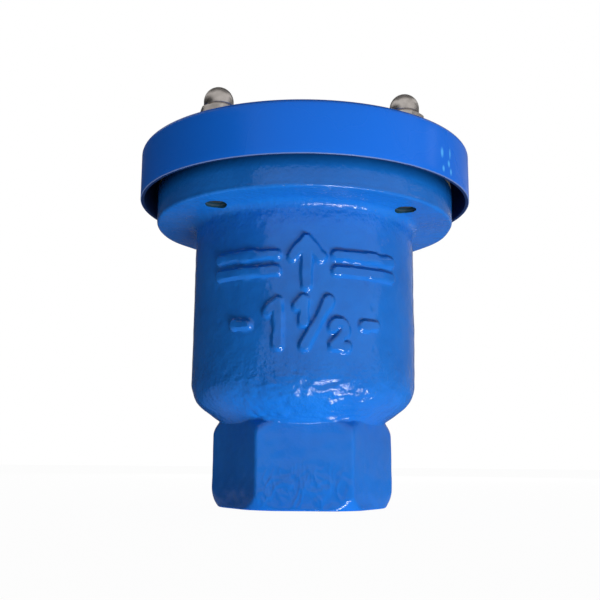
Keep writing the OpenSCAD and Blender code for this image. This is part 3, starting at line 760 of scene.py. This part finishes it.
def thread_ridge():
    """Tree that winds a thread's ridge around the Z axis, with half of its section sunk in the wall."""
    graph, given = new_tree(
        "thread_ridge",
        Radius="Float",
        Pitch="Float",
        Turns="Float",
        Height="Float",
        Base="Float",
        Points="Int",
        Finish="Material",
    )
    sockets = {
        "Resolution": given["Points"],
        "Rotations": given["Turns"],
        "Start Radius": given["Radius"],
        "End Radius": given["Radius"],
        "Height": given["Turns"] * given["Pitch"],
        "Reverse": True,
    }
    spiral = graph.add("GeometryNodeCurveSpiral", {}, sockets)
    upright = graph.add("GeometryNodeSetCurveNormal", {"mode": "Z_UP"}, {"Curve": spiral})
    half_pitch = given["Pitch"] * 0.46
    sockets = {"Width": given["Height"] * 2, "Bottom Height": half_pitch, "Top Height": half_pitch}
    section = graph.add("GeometryNodeCurvePrimitiveQuadrilateral", {"mode": "KITE"}, sockets)
    sockets = {"Curve": upright, "Profile Curve": section, "Fill Caps": True}
    ridge = graph.add("GeometryNodeCurveToMesh", {}, sockets)
    return end_tree(graph, ridge, {"Translation": graph.along_z(given["Base"])}, given["Finish"])


def weld_bead():
    """Tree that lays a rippled weld bead around the Z axis."""
    graph, given = new_tree(
        "weld_bead", Radius="Float", Height="Float", Bead="Float", Ripples="Int", Finish="Material"
    )
    steps = 6
    sockets = {"Resolution": given["Ripples"] * steps, "Radius": given["Radius"]}
    path = graph.add("GeometryNodeCurvePrimitiveCircle", {}, sockets)
    phase = graph.add("GeometryNodeInputIndex") * (FULL_TURN / steps)
    wave = graph.add("ShaderNodeMath", {"operation": "SINE"}, {0: phase})
    section = graph.add("GeometryNodeCurvePrimitiveCircle", {}, {"Resolution": 10, "Radius": 1})
    sockets = {"Curve": path, "Profile Curve": section, "Scale": given["Bead"] * (1 + wave * 0.12)}
    bead = graph.add("GeometryNodeCurveToMesh", {}, sockets)
    return end_tree(graph, bead, {"Translation": graph.along_z(given["Height"])}, given["Finish"])


def grow(piece, make_tree, **values):
    """Runs a tree on a piece and keeps the result as the piece's plain mesh."""
    tree = bpy.data.node_groups.get(make_tree.__name__) or make_tree()
    modifier = piece.modifiers.new(tree.name, "NODES")
    modifier.node_group = tree
    for item in tree.interface.items_tree:
        if item.in_out == "INPUT" and item.name in values:
            modifier[item.identifier] = values[item.name]
    freeze(piece)
    return piece


def place_piece(piece, body, slot, *nodes):
    """Ties a finished piece to its CAD body and hides the CAD nodes that it stands for. The slot is not
    used.
    """
    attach(piece, body)
    if nodes:
        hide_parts(*nodes)


def stroke_lines(points):
    """Straight strokes between neighbouring points."""
    return list(zip(points[:-1], points[1:]))


def placed_strokes(strokes, left, low, tall):
    """Strokes drawn in a box one unit high, brought to their place and height."""
    return [tuple((left + x * tall, low + y * tall) for x, y in stroke) for stroke in strokes]


def cast_strokes(marks):
    """Strokes of all the raised marks, as pairs of points (along the barrel, height) in metres."""
    tall = marks.arrow_tall
    low = marks.arrow_z - tall / 2
    arrow = stroke_lines([(0, 0), (0, 1)]) + stroke_lines([(-0.3, 0.62), (0, 1), (0.3, 0.62)])
    strokes = placed_strokes(arrow, 0, low, tall)
    for side in (-1, 1):
        near = side * marks.bar_start
        for rise in (0.32, 0.68):
            height = low + rise * tall
            strokes.append(((near, height), (near + side * marks.bar_long, height)))
    tall = marks.size_tall
    low = marks.size_z - tall / 2
    one = stroke_lines([(0.0, 0.74), (0.26, 1.0), (0.26, 0.0)])
    two = stroke_lines(arc(0.28, 0.72, 0.28, 165, -35, 9) + [(0.02, 0.0), (0.58, 0.0)])
    bar = stroke_lines([(0.1, 0.0), (0.62, 1.0)])
    strokes += placed_strokes(one, -0.89 * tall, low, tall)
    strokes += placed_strokes(one, -0.19 * tall, low + 0.5 * tall, 0.5 * tall)
    strokes += placed_strokes(bar, -0.13 * tall, low, tall)
    strokes += placed_strokes(two, 0.59 * tall, low, 0.52 * tall)
    for side in (-1, 1):
        strokes.append(((side * 1.34 * tall, marks.size_z), (side * 1.7 * tall, marks.size_z)))
    return strokes


def stroke_distance(along, height, strokes):
    """Distance of every point on the unrolled barrel to the nearest stroke."""
    nearest = np.full(np.broadcast(along, height).shape, np.inf)
    for (x0, y0), (x1, y1) in strokes:
        run = (x1 - x0, y1 - y0)
        share_along = ((along - x0) * run[0] + (height - y0) * run[1]) / (run[0] ** 2 + run[1] ** 2)
        share_along = np.clip(share_along, 0, 1)
        distance = np.hypot(along - x0 - share_along * run[0], height - y0 - share_along * run[1])
        nearest = np.minimum(nearest, distance)
    return nearest


def body_angles():
    """Angles of the body's columns: close together at the front and at the hexagon's edges."""
    first, last, gap = 216, 324, 0.4
    front = np.arange(first, last + 0.1, 0.6)
    rest = np.arange(0, 360, 2)
    rest = rest[(rest < first - gap) | (rest > last + gap)]
    beside = np.array([0.4, 0.8, 1.2, 2.4, 4.2, 6.5])
    steps = [0, *beside, *-beside]
    edges = np.mod([corner + step for corner in range(0, 360, 60) for step in steps], 360)
    return np.radians(np.unique(np.round(np.concatenate([front, rest, edges]), 2)))


def hex_rows(sizes, angles):
    """Rings of the hexagon and the shoulder, from the foot up to the barrel."""
    hexagon = hexagon_radius(angles, sizes.hex_flats, sizes.hex_edge_r)
    corner_r = hexagon.max()
    neck_r = corner_r - sizes.hex_bevel
    bevel_rise, bevel_blend = 3.6 * MM, 1.4 * MM
    lip_slope, lip_drop, lip_blend = 3, 0.5 * MM, 0.9 * MM
    # The lower bevels are softer at the corners on either side, and the shoulder's fillet is wider in front
    foot_rise = 4 * MM
    foot_blend = (0.6 + 1.6 * np.cos(angles) ** 4) * MM
    fillet_blend = sizes.shoulder_blend * (1 + 2.5 * at_front(angles, 40, 20))
    slope = math.tan(sizes.shoulder_slope)
    arc_r = sizes.barrel_r - sizes.shoulder_r
    touch_r = arc_r + sizes.shoulder_r * math.sin(sizes.shoulder_slope)
    touch_z = sizes.hex_height + (touch_r - neck_r) * slope
    arc_z = touch_z + sizes.shoulder_r * math.cos(sizes.shoulder_slope)
    foot = [sizes.hex_foot_r * (1 - math.cos(t)) for t in np.radians(np.linspace(0, 90, 7))]
    neck = sizes.hex_height + np.linspace(-2, 2, 17) * MM
    flank = np.linspace(sizes.hex_foot_r, arc_z, 80)[1:]
    flank = np.sort(np.concatenate([flank[np.abs(flank - sizes.hex_height) > 2.2 * MM], neck]))
    rows = []
    for z in [*foot, *flank]:
        above = z - sizes.hex_height
        upper = neck_r - sizes.hex_bevel * above / bevel_rise
        lower = corner_r - sizes.foot_bevel * (1 - z / foot_rise)
        inset = sizes.hex_foot_r - math.sqrt(max(sizes.hex_foot_r**2 - max(sizes.hex_foot_r - z, 0) ** 2, 0))
        flats = soft_min(soft_min(hexagon, upper, bevel_blend), lower, foot_blend) - inset
        cone = neck_r + above / slope
        lip = neck_r + lip_slope * (above + lip_drop)
        bend = arc_r + math.sqrt(max(sizes.shoulder_r**2 - (arc_z - z) ** 2, 0))
        shoulder = bend if z > touch_z else soft_min(cone, lip, lip_blend)
        rows.append((soft_max(flats, shoulder, fillet_blend), z))
    return rows, arc_z


def inner_profile(sizes):
    """Profile of the body's inside, from the top of the flange down to the mouth of the thread."""
    floor_r, floor_slope = 6 * MM, math.radians(20)
    mouth = 1.5 * MM
    groove_r = sizes.spider_r + 1 * MM
    floor_z = CLIP_TOP + 1.1 * MM
    arc_r = sizes.chamber_r - floor_r
    touch_r = arc_r + floor_r * math.sin(floor_slope)
    rise = (touch_r - sizes.spider_r) * math.tan(floor_slope)
    arc_z = floor_z + rise + floor_r * math.cos(floor_slope)
    return (
        [(sizes.chamber_r, z) for z in (FLANGE_TOP, 90 * MM, 65 * MM)]
        + arc(arc_r, arc_z, floor_r, 0, math.degrees(floor_slope) - 90, 8)
        + [(sizes.spider_r, floor_z), (sizes.spider_r, CLIP_TOP)]
        + [(groove_r, CLIP_TOP), (groove_r, CLIP_LOW)]
        + [(sizes.spider_r, CLIP_LOW), (sizes.spider_r, SPIDER_SEAT)]
        + [(sizes.throat_r, SPIDER_SEAT), (sizes.throat_r, sizes.thread_depth)]
        + [(sizes.thread_r, sizes.thread_depth), (sizes.thread_r, mouth)]
        + [(sizes.thread_r + mouth, 0), (sizes.thread_r + 2.2 * mouth, 0)]
    )


def flange_rows(sizes, under):
    """Profile of the flange, from the fillet at the barrel round the rim to its top."""
    rim_r, edge_r, top_edge = sizes.flange_r, sizes.flange_edge_r, 0.8 * MM
    fillet_r = sizes.barrel_r + sizes.flange_fillet
    ledge = np.linspace(fillet_r, rim_r - edge_r, 7)[1:-1]
    rim = np.linspace(under + edge_r, FLANGE_TOP - top_edge, 6)[1:-1]
    return (
        arc(fillet_r, under - sizes.flange_fillet, sizes.flange_fillet, 180, 90, 9)
        + [(r, under) for r in ledge]
        + arc(rim_r - edge_r, under + edge_r, edge_r, -90, 0, 8)
        + [(rim_r, z) for z in rim]
        + arc(rim_r - top_edge, FLANGE_TOP - top_edge, top_edge, 0, 90, 4)
    )


def body_points(sizes, marks):
    """All rings of the cast body, with its marks and its unevenness."""
    angles = body_angles()
    rows, arc_z = hex_rows(sizes, angles)
    under = FLANGE_TOP - sizes.flange_t
    mark_low = marks.size_z - marks.size_tall
    mark_high = marks.arrow_z + marks.arrow_tall
    plain = np.linspace(arc_z, mark_low, 8)[1:-1]
    marked = np.linspace(mark_low, mark_high, 88)
    above = np.linspace(mark_high, under - sizes.flange_fillet, 5)[1:-1]
    rows += [(sizes.barrel_r, z) for z in [*plain, *marked, *above]]
    rows += flange_rows(sizes, under)
    cast_rows = len(rows)
    radii, heights = rings(angles, rows + inner_profile(sizes))
    cast = (np.arange(len(radii)) < cast_rows)[:, None]
    along = sizes.barrel_r * (angles - FRONT)
    beside = stroke_distance(along[None, :], heights, cast_strokes(marks)) - marks.stroke
    skin = round_points(angles, radii, heights)
    beside = beside + marks.ragged * ripple(skin, 6 * MM, 61)
    proud = marks.height * (0.9 + 0.1 * ripple(skin, 9 * MM, 62))
    on_barrel = (heights > mark_low) & (heights < mark_high) & cast
    radii = radii + on_barrel * proud * soft_step(1 - beside / marks.slope)
    return displaced(angles, radii, heights, cast, sizes)


def casting_pits(points, sizes):
    """Depth of the small round pits that are strewn over the barrel."""
    draw = np.random.default_rng(17)
    depth = np.zeros(points.shape[:-1])
    for _ in range(60):
        turn, rise = draw.uniform(0, FULL_TURN), draw.uniform(0.38, 0.86)
        middle = (sizes.barrel_r * math.cos(turn), sizes.barrel_r * math.sin(turn), rise * FLANGE_TOP)
        wide = draw.uniform(0.6, 1.3) * MM
        away = np.linalg.norm(points - middle, axis=-1) / wide
        depth += draw.uniform(0.1, 0.3) * MM * np.exp(-(away**2))
    return depth


def displaced(angles, radii, heights, cast, sizes):
    """Rings moved by the casting's swell and the paint's lumps, along the surface's own slope."""
    points = round_points(angles, radii, heights)
    # Where the paint lies uneven, from 0 to 1, by height as a share of the hexagon's or below the flange
    rise = heights / sizes.hex_height
    below_flange = FLANGE_TOP - sizes.flange_t - heights
    low_hex = soft_step((0.62 - rise) / 0.35) * at_front(angles, 31, 5)
    fillet = soft_step(1.6 - np.abs(rise - 1.04) / 0.05)
    shoulder = soft_step(1.5 - np.abs(rise - 1.22) / 0.2)
    drips = soft_step((below_flange - 2 * MM) / (3 * MM)) * soft_step((16 * MM - below_flange) / (10 * MM))
    flange = soft_step((3 * MM - below_flange) / (3 * MM))
    front = at_front(angles, 44, 18)
    # Lumps and creases of the paint: depth, pattern, squeeze in height, wavelength in millimetres, seed
    layers = (
        (1 + 0.2 * shoulder - 0.5 * low_hex - 0.8 * flange, ripple, 1, 6, 8),
        (2.6 * shoulder + drips, ripple, 1.6, 11, 40),
        (2 * (shoulder + drips) * front, folds, 1.6, 7, 50),
        (4.5 * shoulder * front, ripple, 2.2, 5, 70),
        (6 * fillet * front, ripple, 2, 4.5, 90),
        (5 * low_hex, folds, 1, 7, 21),
        (4 * low_hex, folds, 1, 5, 31),
    )
    uneven = sizes.swell * ripple(points, 34 * MM, 3) - casting_pits(points, sizes)
    for depth, pattern, squeeze, wavelength, seed in layers:
        uneven += sizes.lumps * depth * pattern(points * (1, 1, squeeze), wavelength * MM, seed)
    slope_r = np.gradient(radii, axis=0)
    slope_z = np.gradient(heights, axis=0)
    steep = np.hypot(slope_r, slope_z) + 1e-9
    uneven *= cast * soft_step(heights / (2.5 * MM)) * soft_step((FLANGE_TOP - heights) / (2 * MM))
    return round_points(angles, radii + uneven * slope_z / steep, heights - uneven * slope_r / steep)


class VALVE_OT_cast_body(bpy.types.Operator):
    """Makes the cast body with its raised marks, and the inlet's thread."""

    bl_idname = "valve.cast_body"
    bl_label = "Cast Body"

    def execute(self, context):
        sizes = context.scene.valve_body
        fasteners = context.scene.valve_fasteners
        paint = finish("casting_paint")
        piece = ring_piece("cast_body", body_points(sizes, context.scene.valve_marks), True, paint)
        under = FLANGE_TOP - sizes.flange_t
        drill_studs(piece, fasteners.tapped_r, under - sizes.flange_fillet, FLANGE_TOP + 1 * MM)
        middles = face_middles(piece.data)
        mark_faces(piece.data, "bare_metal", self.machined(middles, sizes))
        mark_faces(piece.data, "tapped_hole", self.tapped(middles, fasteners))
        place_piece(piece, "valve_body", "blue_casting", "body")
        self.thread(sizes, paint)
        return {"FINISHED"}

    @staticmethod
    def machined(middles, sizes):
        """True for faces of the turned and threaded surfaces of the inlet."""
        x, y, z = middles.T
        across = np.hypot(x, y)
        bare = (across < sizes.thread_r + 0.2 * MM) & (z > 0.3 * MM) & (z < SPIDER_SEAT)
        bare |= (across < sizes.spider_r + 2 * MM) & (z >= SPIDER_SEAT) & (z < CLIP_TOP + 1 * MM)
        return bare

    @staticmethod
    def tapped(middles, fasteners):
        """True for faces of the walls of the stud holes."""
        x, y = middles[:, 0], middles[:, 1]
        walls = np.zeros(len(middles), dtype=bool)
        for turn in stud_angles(fasteners):
            axis_x, axis_y = fasteners.circle_r * math.cos(turn), fasteners.circle_r * math.sin(turn)
            walls |= np.hypot(x - axis_x, y - axis_y) < fasteners.tapped_r + 0.05 * MM
        return walls

    @staticmethod
    def thread(sizes, paint):
        """Ridge of the inlet's thread, from the mouth up to the throat."""
        margin = 2.2 * MM
        piece = grow(
            empty_piece("inlet_thread"),
            thread_ridge,
            Radius=sizes.thread_r,
            Pitch=sizes.thread_pitch,
            Turns=(sizes.thread_depth - 2 * margin) / sizes.thread_pitch,
            Height=sizes.thread_height,
            Base=margin,
            Points=96,
            Finish=paint,
        )
        mark_faces(piece.data, "bare_metal", np.ones(len(piece.data.polygons)))
        smooth(piece.data, 40)
        place_piece(piece, "valve_body", "blue_casting")


class VALVE_OT_vent_cap(bpy.types.Operator):
    """Makes the pressed vent cap with its deep skirt."""

    bl_idname = "valve.vent_cap"
    bl_label = "Vent Cap"

    def execute(self, context):
        sizes = context.scene.valve_cap
        hole_r = context.scene.valve_fasteners.plain_hole_r
        angles = even_angles(240)
        points = round_points(angles, *rings(angles, self.profile(sizes)))
        waves = sizes.dent * (np.sin(3 * angles + 0.7) + 0.6 * np.sin(5 * angles + 2.1)) / 1.6
        low = soft_step((CAP_TOP - points[..., 2]) / (CAP_TOP - CAP_LOW))
        points[..., :2] *= (1 + (waves * low - sizes.dent) / sizes.radius)[..., None]
        piece = ring_piece("cap_shell", points, False, finish("sheet_paint"), 40)
        drill_studs(piece, hole_r, CAP_TOP - 2 * sizes.sheet, CAP_TOP + 1 * MM, 40)
        x, y, z = face_middles(piece.data).T
        within = np.hypot(x, y) < sizes.radius - 0.3 * sizes.sheet
        # Faces of the lip's cut edge, which take the paler paint and painted highlight
        mark_faces(piece.data, "cut_edge", (z < CAP_LOW + 0.2 * sizes.sheet) & ~within)
        # Faces inside the cap, which take the painted shade
        mark_faces(piece.data, "thin_paint", (z < CAP_TOP - 0.5 * sizes.sheet) & within)
        place_piece(piece, "valve_body", "blue_sheet", "vent_cap")
        return {"FINISHED"}

    @staticmethod
    def profile(sizes):
        """Profile of the sheet, from the middle of its top over the skirt to the middle of its underside."""
        inner_r = sizes.radius - sizes.sheet
        bend_r, bend_z = sizes.radius - sizes.corner_r, CAP_TOP - sizes.corner_r
        lip = 0.2 * sizes.sheet
        lip_z = CAP_LOW + lip
        skirt = np.linspace(bend_z, lip_z, 8)[1:-1]
        return (
            [(part * sizes.radius, CAP_TOP) for part in (0, 0.3, 0.62, 0.88)]
            + arc(bend_r, bend_z, sizes.corner_r, 90, 0, 8)
            + [(sizes.radius, z) for z in skirt]
            + arc(sizes.radius - lip, lip_z, lip, 0, -90, 6)
            + arc(inner_r + lip, lip_z, lip, -90, -180, 6)
            + [(inner_r, z) for z in skirt[::-1]]
            + arc(bend_r, bend_z, sizes.corner_r - sizes.sheet, 0, 90, 6)
            + [(part * sizes.radius, CAP_TOP - sizes.sheet) for part in (0.88, 0)]
        )


class VALVE_OT_stud_set(bpy.types.Operator):
    """Makes the studs, washers and domed nuts on the stud circle."""

    bl_idname = "valve.stud_set"
    bl_label = "Studs and Nuts"

    def execute(self, context):
        sizes = context.scene.valve_fasteners
        for make, name, metal, node in (
            (self.stud, "threaded_studs", "zinc_plate", "studs"),
            (self.washer, "flat_washers", "satin_steel", "cap_washers"),
            (self.nut, "domed_nuts", "satin_steel", "acorn_nuts"),
        ):
            piece = grow(
                make(name, sizes, finish(metal)),
                on_stud_circle,
                Count=sizes.count,
                Radius=sizes.circle_r,
                Turn=sizes.turn,
                Spin=sizes.spin,
                Finish=finish(metal),
            )
            place_piece(piece, "valve_body", "stainless", node)
        dress("turned_stainless", "cap_spacers")
        return {"FINISHED"}

    @staticmethod
    def stud(name, sizes, metal):
        """Threaded stud with bevelled ends, on the Z axis."""
        core_r = sizes.stud_r - sizes.stud_thread
        bevel = 0.7 * MM
        profile = [
            (0, STUD_LOW),
            (core_r - bevel, STUD_LOW),
            (core_r, STUD_LOW + bevel),
            (core_r, STUD_TOP - bevel),
            (core_r - bevel, STUD_TOP),
            (0, STUD_TOP),
        ]
        piece = turned_piece(name, profile, 32, False, metal)
        ridge = grow(
            empty_piece("stud_ridge"),
            thread_ridge,
            Radius=core_r,
            Pitch=sizes.stud_pitch,
            Turns=(STUD_TOP - STUD_LOW - 2 * bevel) / sizes.stud_pitch - 1,
            Height=sizes.stud_thread,
            Base=STUD_LOW + bevel + sizes.stud_pitch / 2,
            Points=24,
            Finish=metal,
        )
        build = bmesh.new()
        build.from_mesh(piece.data)
        build.from_mesh(ridge.data)
        build.to_mesh(piece.data)
        build.free()
        bpy.data.objects.remove(ridge)
        smooth(piece.data, 35)
        return piece

    @staticmethod
    def washer(name, sizes, metal):
        """Flat washer with softened edges, on the Z axis."""
        edge = 0.3 * MM
        outer, inner = sizes.washer_r, sizes.plain_hole_r
        profile = (
            arc(outer - edge, WASHER_LOW + edge, edge, -90, 0, 3)
            + arc(outer - edge, WASHER_TOP - edge, edge, 0, 90, 3)
            + [(inner, WASHER_TOP), (inner, WASHER_LOW)]
        )
        return turned_piece(name, profile, 64, True, metal)

    @staticmethod
    def nut(name, sizes, metal):
        """Domed nut with a bevelled hexagon and a groove under the dome, on the Z axis."""
        angles = even_angles(120)
        flat_r = sizes.nut_flats / 2
        edge_r, bevel_blend, groove_gap, worn = 0.6 * MM, 0.15 * MM, 0.8 * MM, 0.1 * MM
        hexagon = hexagon_radius(angles, sizes.nut_flats, edge_r)
        bevel = np.linspace(0, 0.55 * MM, 5)
        flank = np.linspace(0.2, 0.8, 4) * sizes.nut_hex

        def bevelled(rise):
            return soft_min(hexagon, flat_r + 2 * rise, bevel_blend)

        hex_top = NUT_LOW + sizes.nut_hex
        neck_r = sizes.dome_r - sizes.groove
        brim_z = hex_top + groove_gap + sizes.groove
        dome_z = NUT_LOW + sizes.nut_height - sizes.dome_r
        rows = (
            [(0, NUT_LOW), (0.8 * flat_r, NUT_LOW)]
            + [(bevelled(z), NUT_LOW + z) for z in [*bevel, *flank]]
            + [(bevelled(z), hex_top - z) for z in bevel[::-1]]
            + [(neck_r, hex_top + worn / 2), (neck_r, hex_top + groove_gap)]
            + [(sizes.dome_r - worn, brim_z - worn), (sizes.dome_r, brim_z + worn)]
            + arc(0, dome_z, sizes.dome_r, 0, 90, 14)
        )
        return ring_piece(name, round_points(angles, *rings(angles, rows)), False, metal, 28)


class VALVE_OT_flange_joint(bpy.types.Operator):
    """Makes the fibre gasket on the flange, and finishes the bonnet above it with its rubber seat."""

    bl_idname = "valve.flange_joint"
    bl_label = "Gasket and Bonnet"

    def execute(self, context):
        sizes = context.scene.valve_body
        angles = even_angles(360)
        edge, inset, stray = 0.35 * MM, 0.3 * MM, 0.16 * MM
        rim = sizes.flange_r - inset
        profile = (
            [(sizes.chamber_r, GASKET_LOW)]
            + arc(rim - edge, GASKET_LOW + edge, edge, -90, 0, 3)
            + arc(rim - edge, GASKET_TOP - edge, edge, 0, 90, 3)
            + [(sizes.chamber_r, GASKET_TOP)]
        )
        radii, heights = rings(angles, profile)
        points = round_points(angles, radii, heights)
        ragged = stray * ripple(points, 4 * MM, 5) * (radii > 0.9 * rim)
        points[..., :2] *= (1 + ragged / rim)[..., None]
        piece = ring_piece("gasket_sheet", points, True, finish("fibre_sheet"))
        hole_r = context.scene.valve_fasteners.plain_hole_r
        drill_studs(piece, hole_r, GASKET_LOW - 1 * MM, GASKET_TOP + 1 * MM)
        place_piece(piece, "valve_body", "gasket_fibre", "body_gasket")
        dress("casting_paint", "bonnet")
        dress("moulded_rubber", "seat_ring")
        dress("turned_stainless", "seat_retainer", "retainer_screws")
        return {"FINISHED"}


class VALVE_OT_float(bpy.types.Operator):
    """Finishes the float ball with its weld, yoke and rod, and the spider that guides it."""

    bl_idname = "valve.float"
    bl_label = "Float and Guide"

    def execute(self, context):
        bead = grow(
            empty_piece("float_weld"),
            weld_bead,
            Radius=FLOAT_RADIUS,
            Height=WELD_HEIGHT,
            Bead=0.55 * MM,
            Ripples=90,
            Finish=finish("ground_stainless"),
        )
        smooth(bead.data, 60)
        place_piece(bead, "float_unit", "pressed_stainless")
        dress("ground_stainless", "float_upper_half", "float_lower_half")
        dress("turned_stainless", "float_yoke", "guide_rod", "link_pin", "link_clip")
        dress("turned_stainless", "guide_spider", "spider_clip")
        dress("turned_bronze", "guide_bush")
        return {"FINISHED"}


class VALVE_OT_mechanism(bpy.types.Operator):
    """Finishes the plug, its small orifice and the lever that shuts it."""

    bl_idname = "valve.mechanism"
    bl_label = "Plug and Lever"

    def execute(self, context):
        dress("turned_bronze", "plug")
        dress("turned_stainless", "orifice_jet", "pivot_pin", "pivot_clip", "lever", "button_nut")
        dress("moulded_rubber", "orifice_button")
        return {"FINISHED"}


class VALVE_OT_stage(bpy.types.Operator):
    """Sets out the floor, the white backdrop, the lamps and the camera."""

    bl_idname = "valve.stage"
    bl_label = "Stage"

    # Lamps that face the valve: name, place, width and height, setting of the power, shows in the gloss
    lamps = (
        ("key_lamp", (0.3, -0.45, -0.44), (0.55, 0.13), "key_power", True),
        ("top_lamp", (0.15, 0.1, 0.9), (0.7, 0.7), "top_power", False),
        ("back_lamp", (0.1, 0.85, 0.3), (0.6, 0.6), "back_power", False),
        ("rim_lamp", (0.79, 0.0, 0.41), (0.05, 0.05), "rim_power", True),
    )

    # Cards and mats around the valve: name, middle, width, height, turn about X and Z in degrees, shade
    cards = (
        ("left_card", (-0.34, 0.225, 0.17), 1.35, 0.34, (90, 90), 0.035),
        ("right_card", (0.4, 0.35, 0.2), 0.9, 0.4, (90, 90), 0.4),
        ("back_card", (0, 0.8, 1.1), 1.6, 2.2, (90, 0), 0.18),
        ("top_card", (0, 0.25, 1.2), 1.6, 1.1, (0, 0), 0.3),
        ("left_mat", (-0.43, 0.5, MAT_Z), 0.94, 0.9, (0, 0), 0.03),
        ("right_mat", (0.47, 0.5, MAT_Z), 0.86, 0.9, (0, 0), 0.15),
        ("front_mat", (0, -0.35, MAT_Z), 1.8, 0.8, (0, 0), 0.6),
    )

    def execute(self, context):
        settings = context.scene.valve_stage
        context.scene.view_settings.view_transform = "Standard"
        self.backdrop(context.scene, settings)
        self.floor(context.scene, settings)
        for name, place, size, watts, in_gloss in self.lamps:
            self.lamp(name, place, size, getattr(settings, watts), in_gloss)
        for card in self.cards:
            self.card(*card)
        self.camera(context.scene, settings)
        return {"FINISHED"}

    @staticmethod
    def seen(graph):
        """1 for rays that show the backdrop to the camera, also by way of gloss or glass."""
        rays = ("Is Camera Ray", "Is Glossy Ray", "Is Transmission Ray")
        camera, gloss, glass = (graph.add("ShaderNodeLightPath", output=ray) for ray in rays)
        return graph.add("ShaderNodeClamp", {}, {"Value": camera + gloss + glass})

    def backdrop(self, scene, settings):
        """World that shows white and lights softly."""
        world = bpy.data.worlds.new("white_room")
        world.use_nodes = True
        scene.world = world
        graph = Graph(world.node_tree)
        soft = graph.add("ShaderNodeBackground", {}, {"Strength": settings.ambient, "Color": WHITE})
        white = graph.add("ShaderNodeBackground", {}, {"Strength": 1.0, "Color": WHITE})
        shown = graph.add("ShaderNodeMixShader", {}, {0: self.seen(graph), 1: soft, 2: white})
        graph.add("ShaderNodeOutputWorld", {}, {"Surface": shown})

    def floor(self, scene, settings):
        """Pale floor that keeps the shadow and fades into the backdrop."""
        graph = material_graph("pale_floor")
        matt = graph.add("ShaderNodeBsdfDiffuse", {}, {"Color": rgba(scene.valve_colours.floor)})
        white = graph.add("ShaderNodeEmission", {}, {"Strength": 1.0, "Color": WHITE})
        glow = self.seen(graph) * settings.floor_glow
        shown = graph.add("ShaderNodeMixShader", {}, {0: glow, 1: matt, 2: white})
        build = bmesh.new()
        bmesh.ops.create_circle(build, cap_ends=True, segments=96, radius=4)
        mesh = built_mesh("floor", build)
        mesh.transform(Matrix.Translation((0, 0, FLOOR_Z)))
        mesh.materials.append(graph.end(shown))
        piece = linked("floor", mesh)
        piece.visible_shadow = False

    @staticmethod
    def lamp(name, place, size, watts, in_gloss):
        """Soft lamp that faces the valve, and shows in its gloss or not."""
        light = bpy.data.lights.new(name, "AREA")
        light.cycles.use_multiple_importance_sampling = False
        light.shape = "RECTANGLE"
        light.size, light.size_y = size
        light.energy = watts
        target = Vector((0, 0, 0.075))
        lamp = linked(name, light)
        lamp.location = place
        lamp.visible_glossy = in_gloss
        lamp.rotation_euler = (target - Vector(place)).to_track_quat("-Z", "Y").to_euler()

    @staticmethod
    def card(name, middle, wide, tall, turn, shade):
        """Dark card that only the gloss sees, where it keeps the white room off the paint."""
        graph = material_graph(name)
        matt = graph.add("ShaderNodeBsdfDiffuse", {}, {"Color": (shade, shade, shade, 1)})
        mesh = bpy.data.meshes.new(name)
        corners = [(x * wide / 2, y * tall / 2, 0) for x, y in ((-1, -1), (1, -1), (1, 1), (-1, 1))]
        mesh.from_pydata(corners, [], [(0, 1, 2, 3)])
        mesh.materials.append(graph.end(matt))
        card = linked(name, mesh)
        card.location = middle
        card.rotation_euler = (math.radians(turn[0]), 0, math.radians(turn[1]))
        card.visible_camera = False
        card.visible_diffuse = False
        card.visible_transmission = False
        card.visible_shadow = False

    @staticmethod
    def camera(scene, settings):
        """Camera low in front, looking up under the flange."""
        data = bpy.data.cameras.new("camera")
        data.lens = settings.lens
        data.clip_start = 0.01
        camera = linked("camera", data)
        place = Matrix.Translation((settings.camera_side, -settings.camera_far, settings.camera_z))
        look = Matrix.Rotation(math.pi / 2 + settings.camera_pitch, 4, "X")
        roll = Matrix.Rotation(settings.camera_roll, 4, "Z")
        camera.matrix_world = Matrix.Rotation(settings.camera_turn, 4, "Z") @ place @ look @ roll
        scene.camera = camera


STEPS = (
    VALVE_OT_cast_body,
    VALVE_OT_vent_cap,
    VALVE_OT_stud_set,
    VALVE_OT_flange_joint,
    VALVE_OT_float,
    VALVE_OT_mechanism,
    VALVE_OT_stage,
)
GROUPS = {
    "valve_body": CastBodySizes,
    "valve_marks": CastMarkSizes,
    "valve_cap": CapSizes,
    "valve_fasteners": FastenerSizes,
    "valve_colours": FinishColours,
    "valve_stage": StageSettings,
}


class VALVE_PT_panel(bpy.types.Panel):
    """Lists the steps that build the valve, and their sizes and colours."""

    bl_idname = "VALVE_PT_panel"
    bl_label = "Air Release Valve"
    bl_space_type = "VIEW_3D"
    bl_region_type = "UI"
    bl_category = "Valve"

    def draw(self, context):
        for step in STEPS:
            self.layout.operator(step.bl_idname)
        for group in GROUPS:
            box = self.layout.box()
            values = getattr(context.scene, group)
            for name in values.__annotations__:
                box.prop(values, name)


def register():
    """Adds the classes and the scene's settings to Blender."""
    for group, kind in GROUPS.items():
        bpy.utils.register_class(kind)
        setattr(bpy.types.Scene, group, bpy.props.PointerProperty(type=kind))
    for kind in (*STEPS, VALVE_PT_panel):
        bpy.utils.register_class(kind)


def unregister():
    """Takes the classes and the scene's settings out of Blender."""
    for kind in (VALVE_PT_panel, *reversed(STEPS)):
        bpy.utils.unregister_class(kind)
    for group, kind in reversed(GROUPS.items()):
        delattr(bpy.types.Scene, group)
        bpy.utils.unregister_class(kind)


def main():
    register()
    for step in STEPS:
        operator = step.bl_idname.split(".")[1]
        getattr(bpy.ops.valve, operator)()


if __name__ == "__main__":
    main()
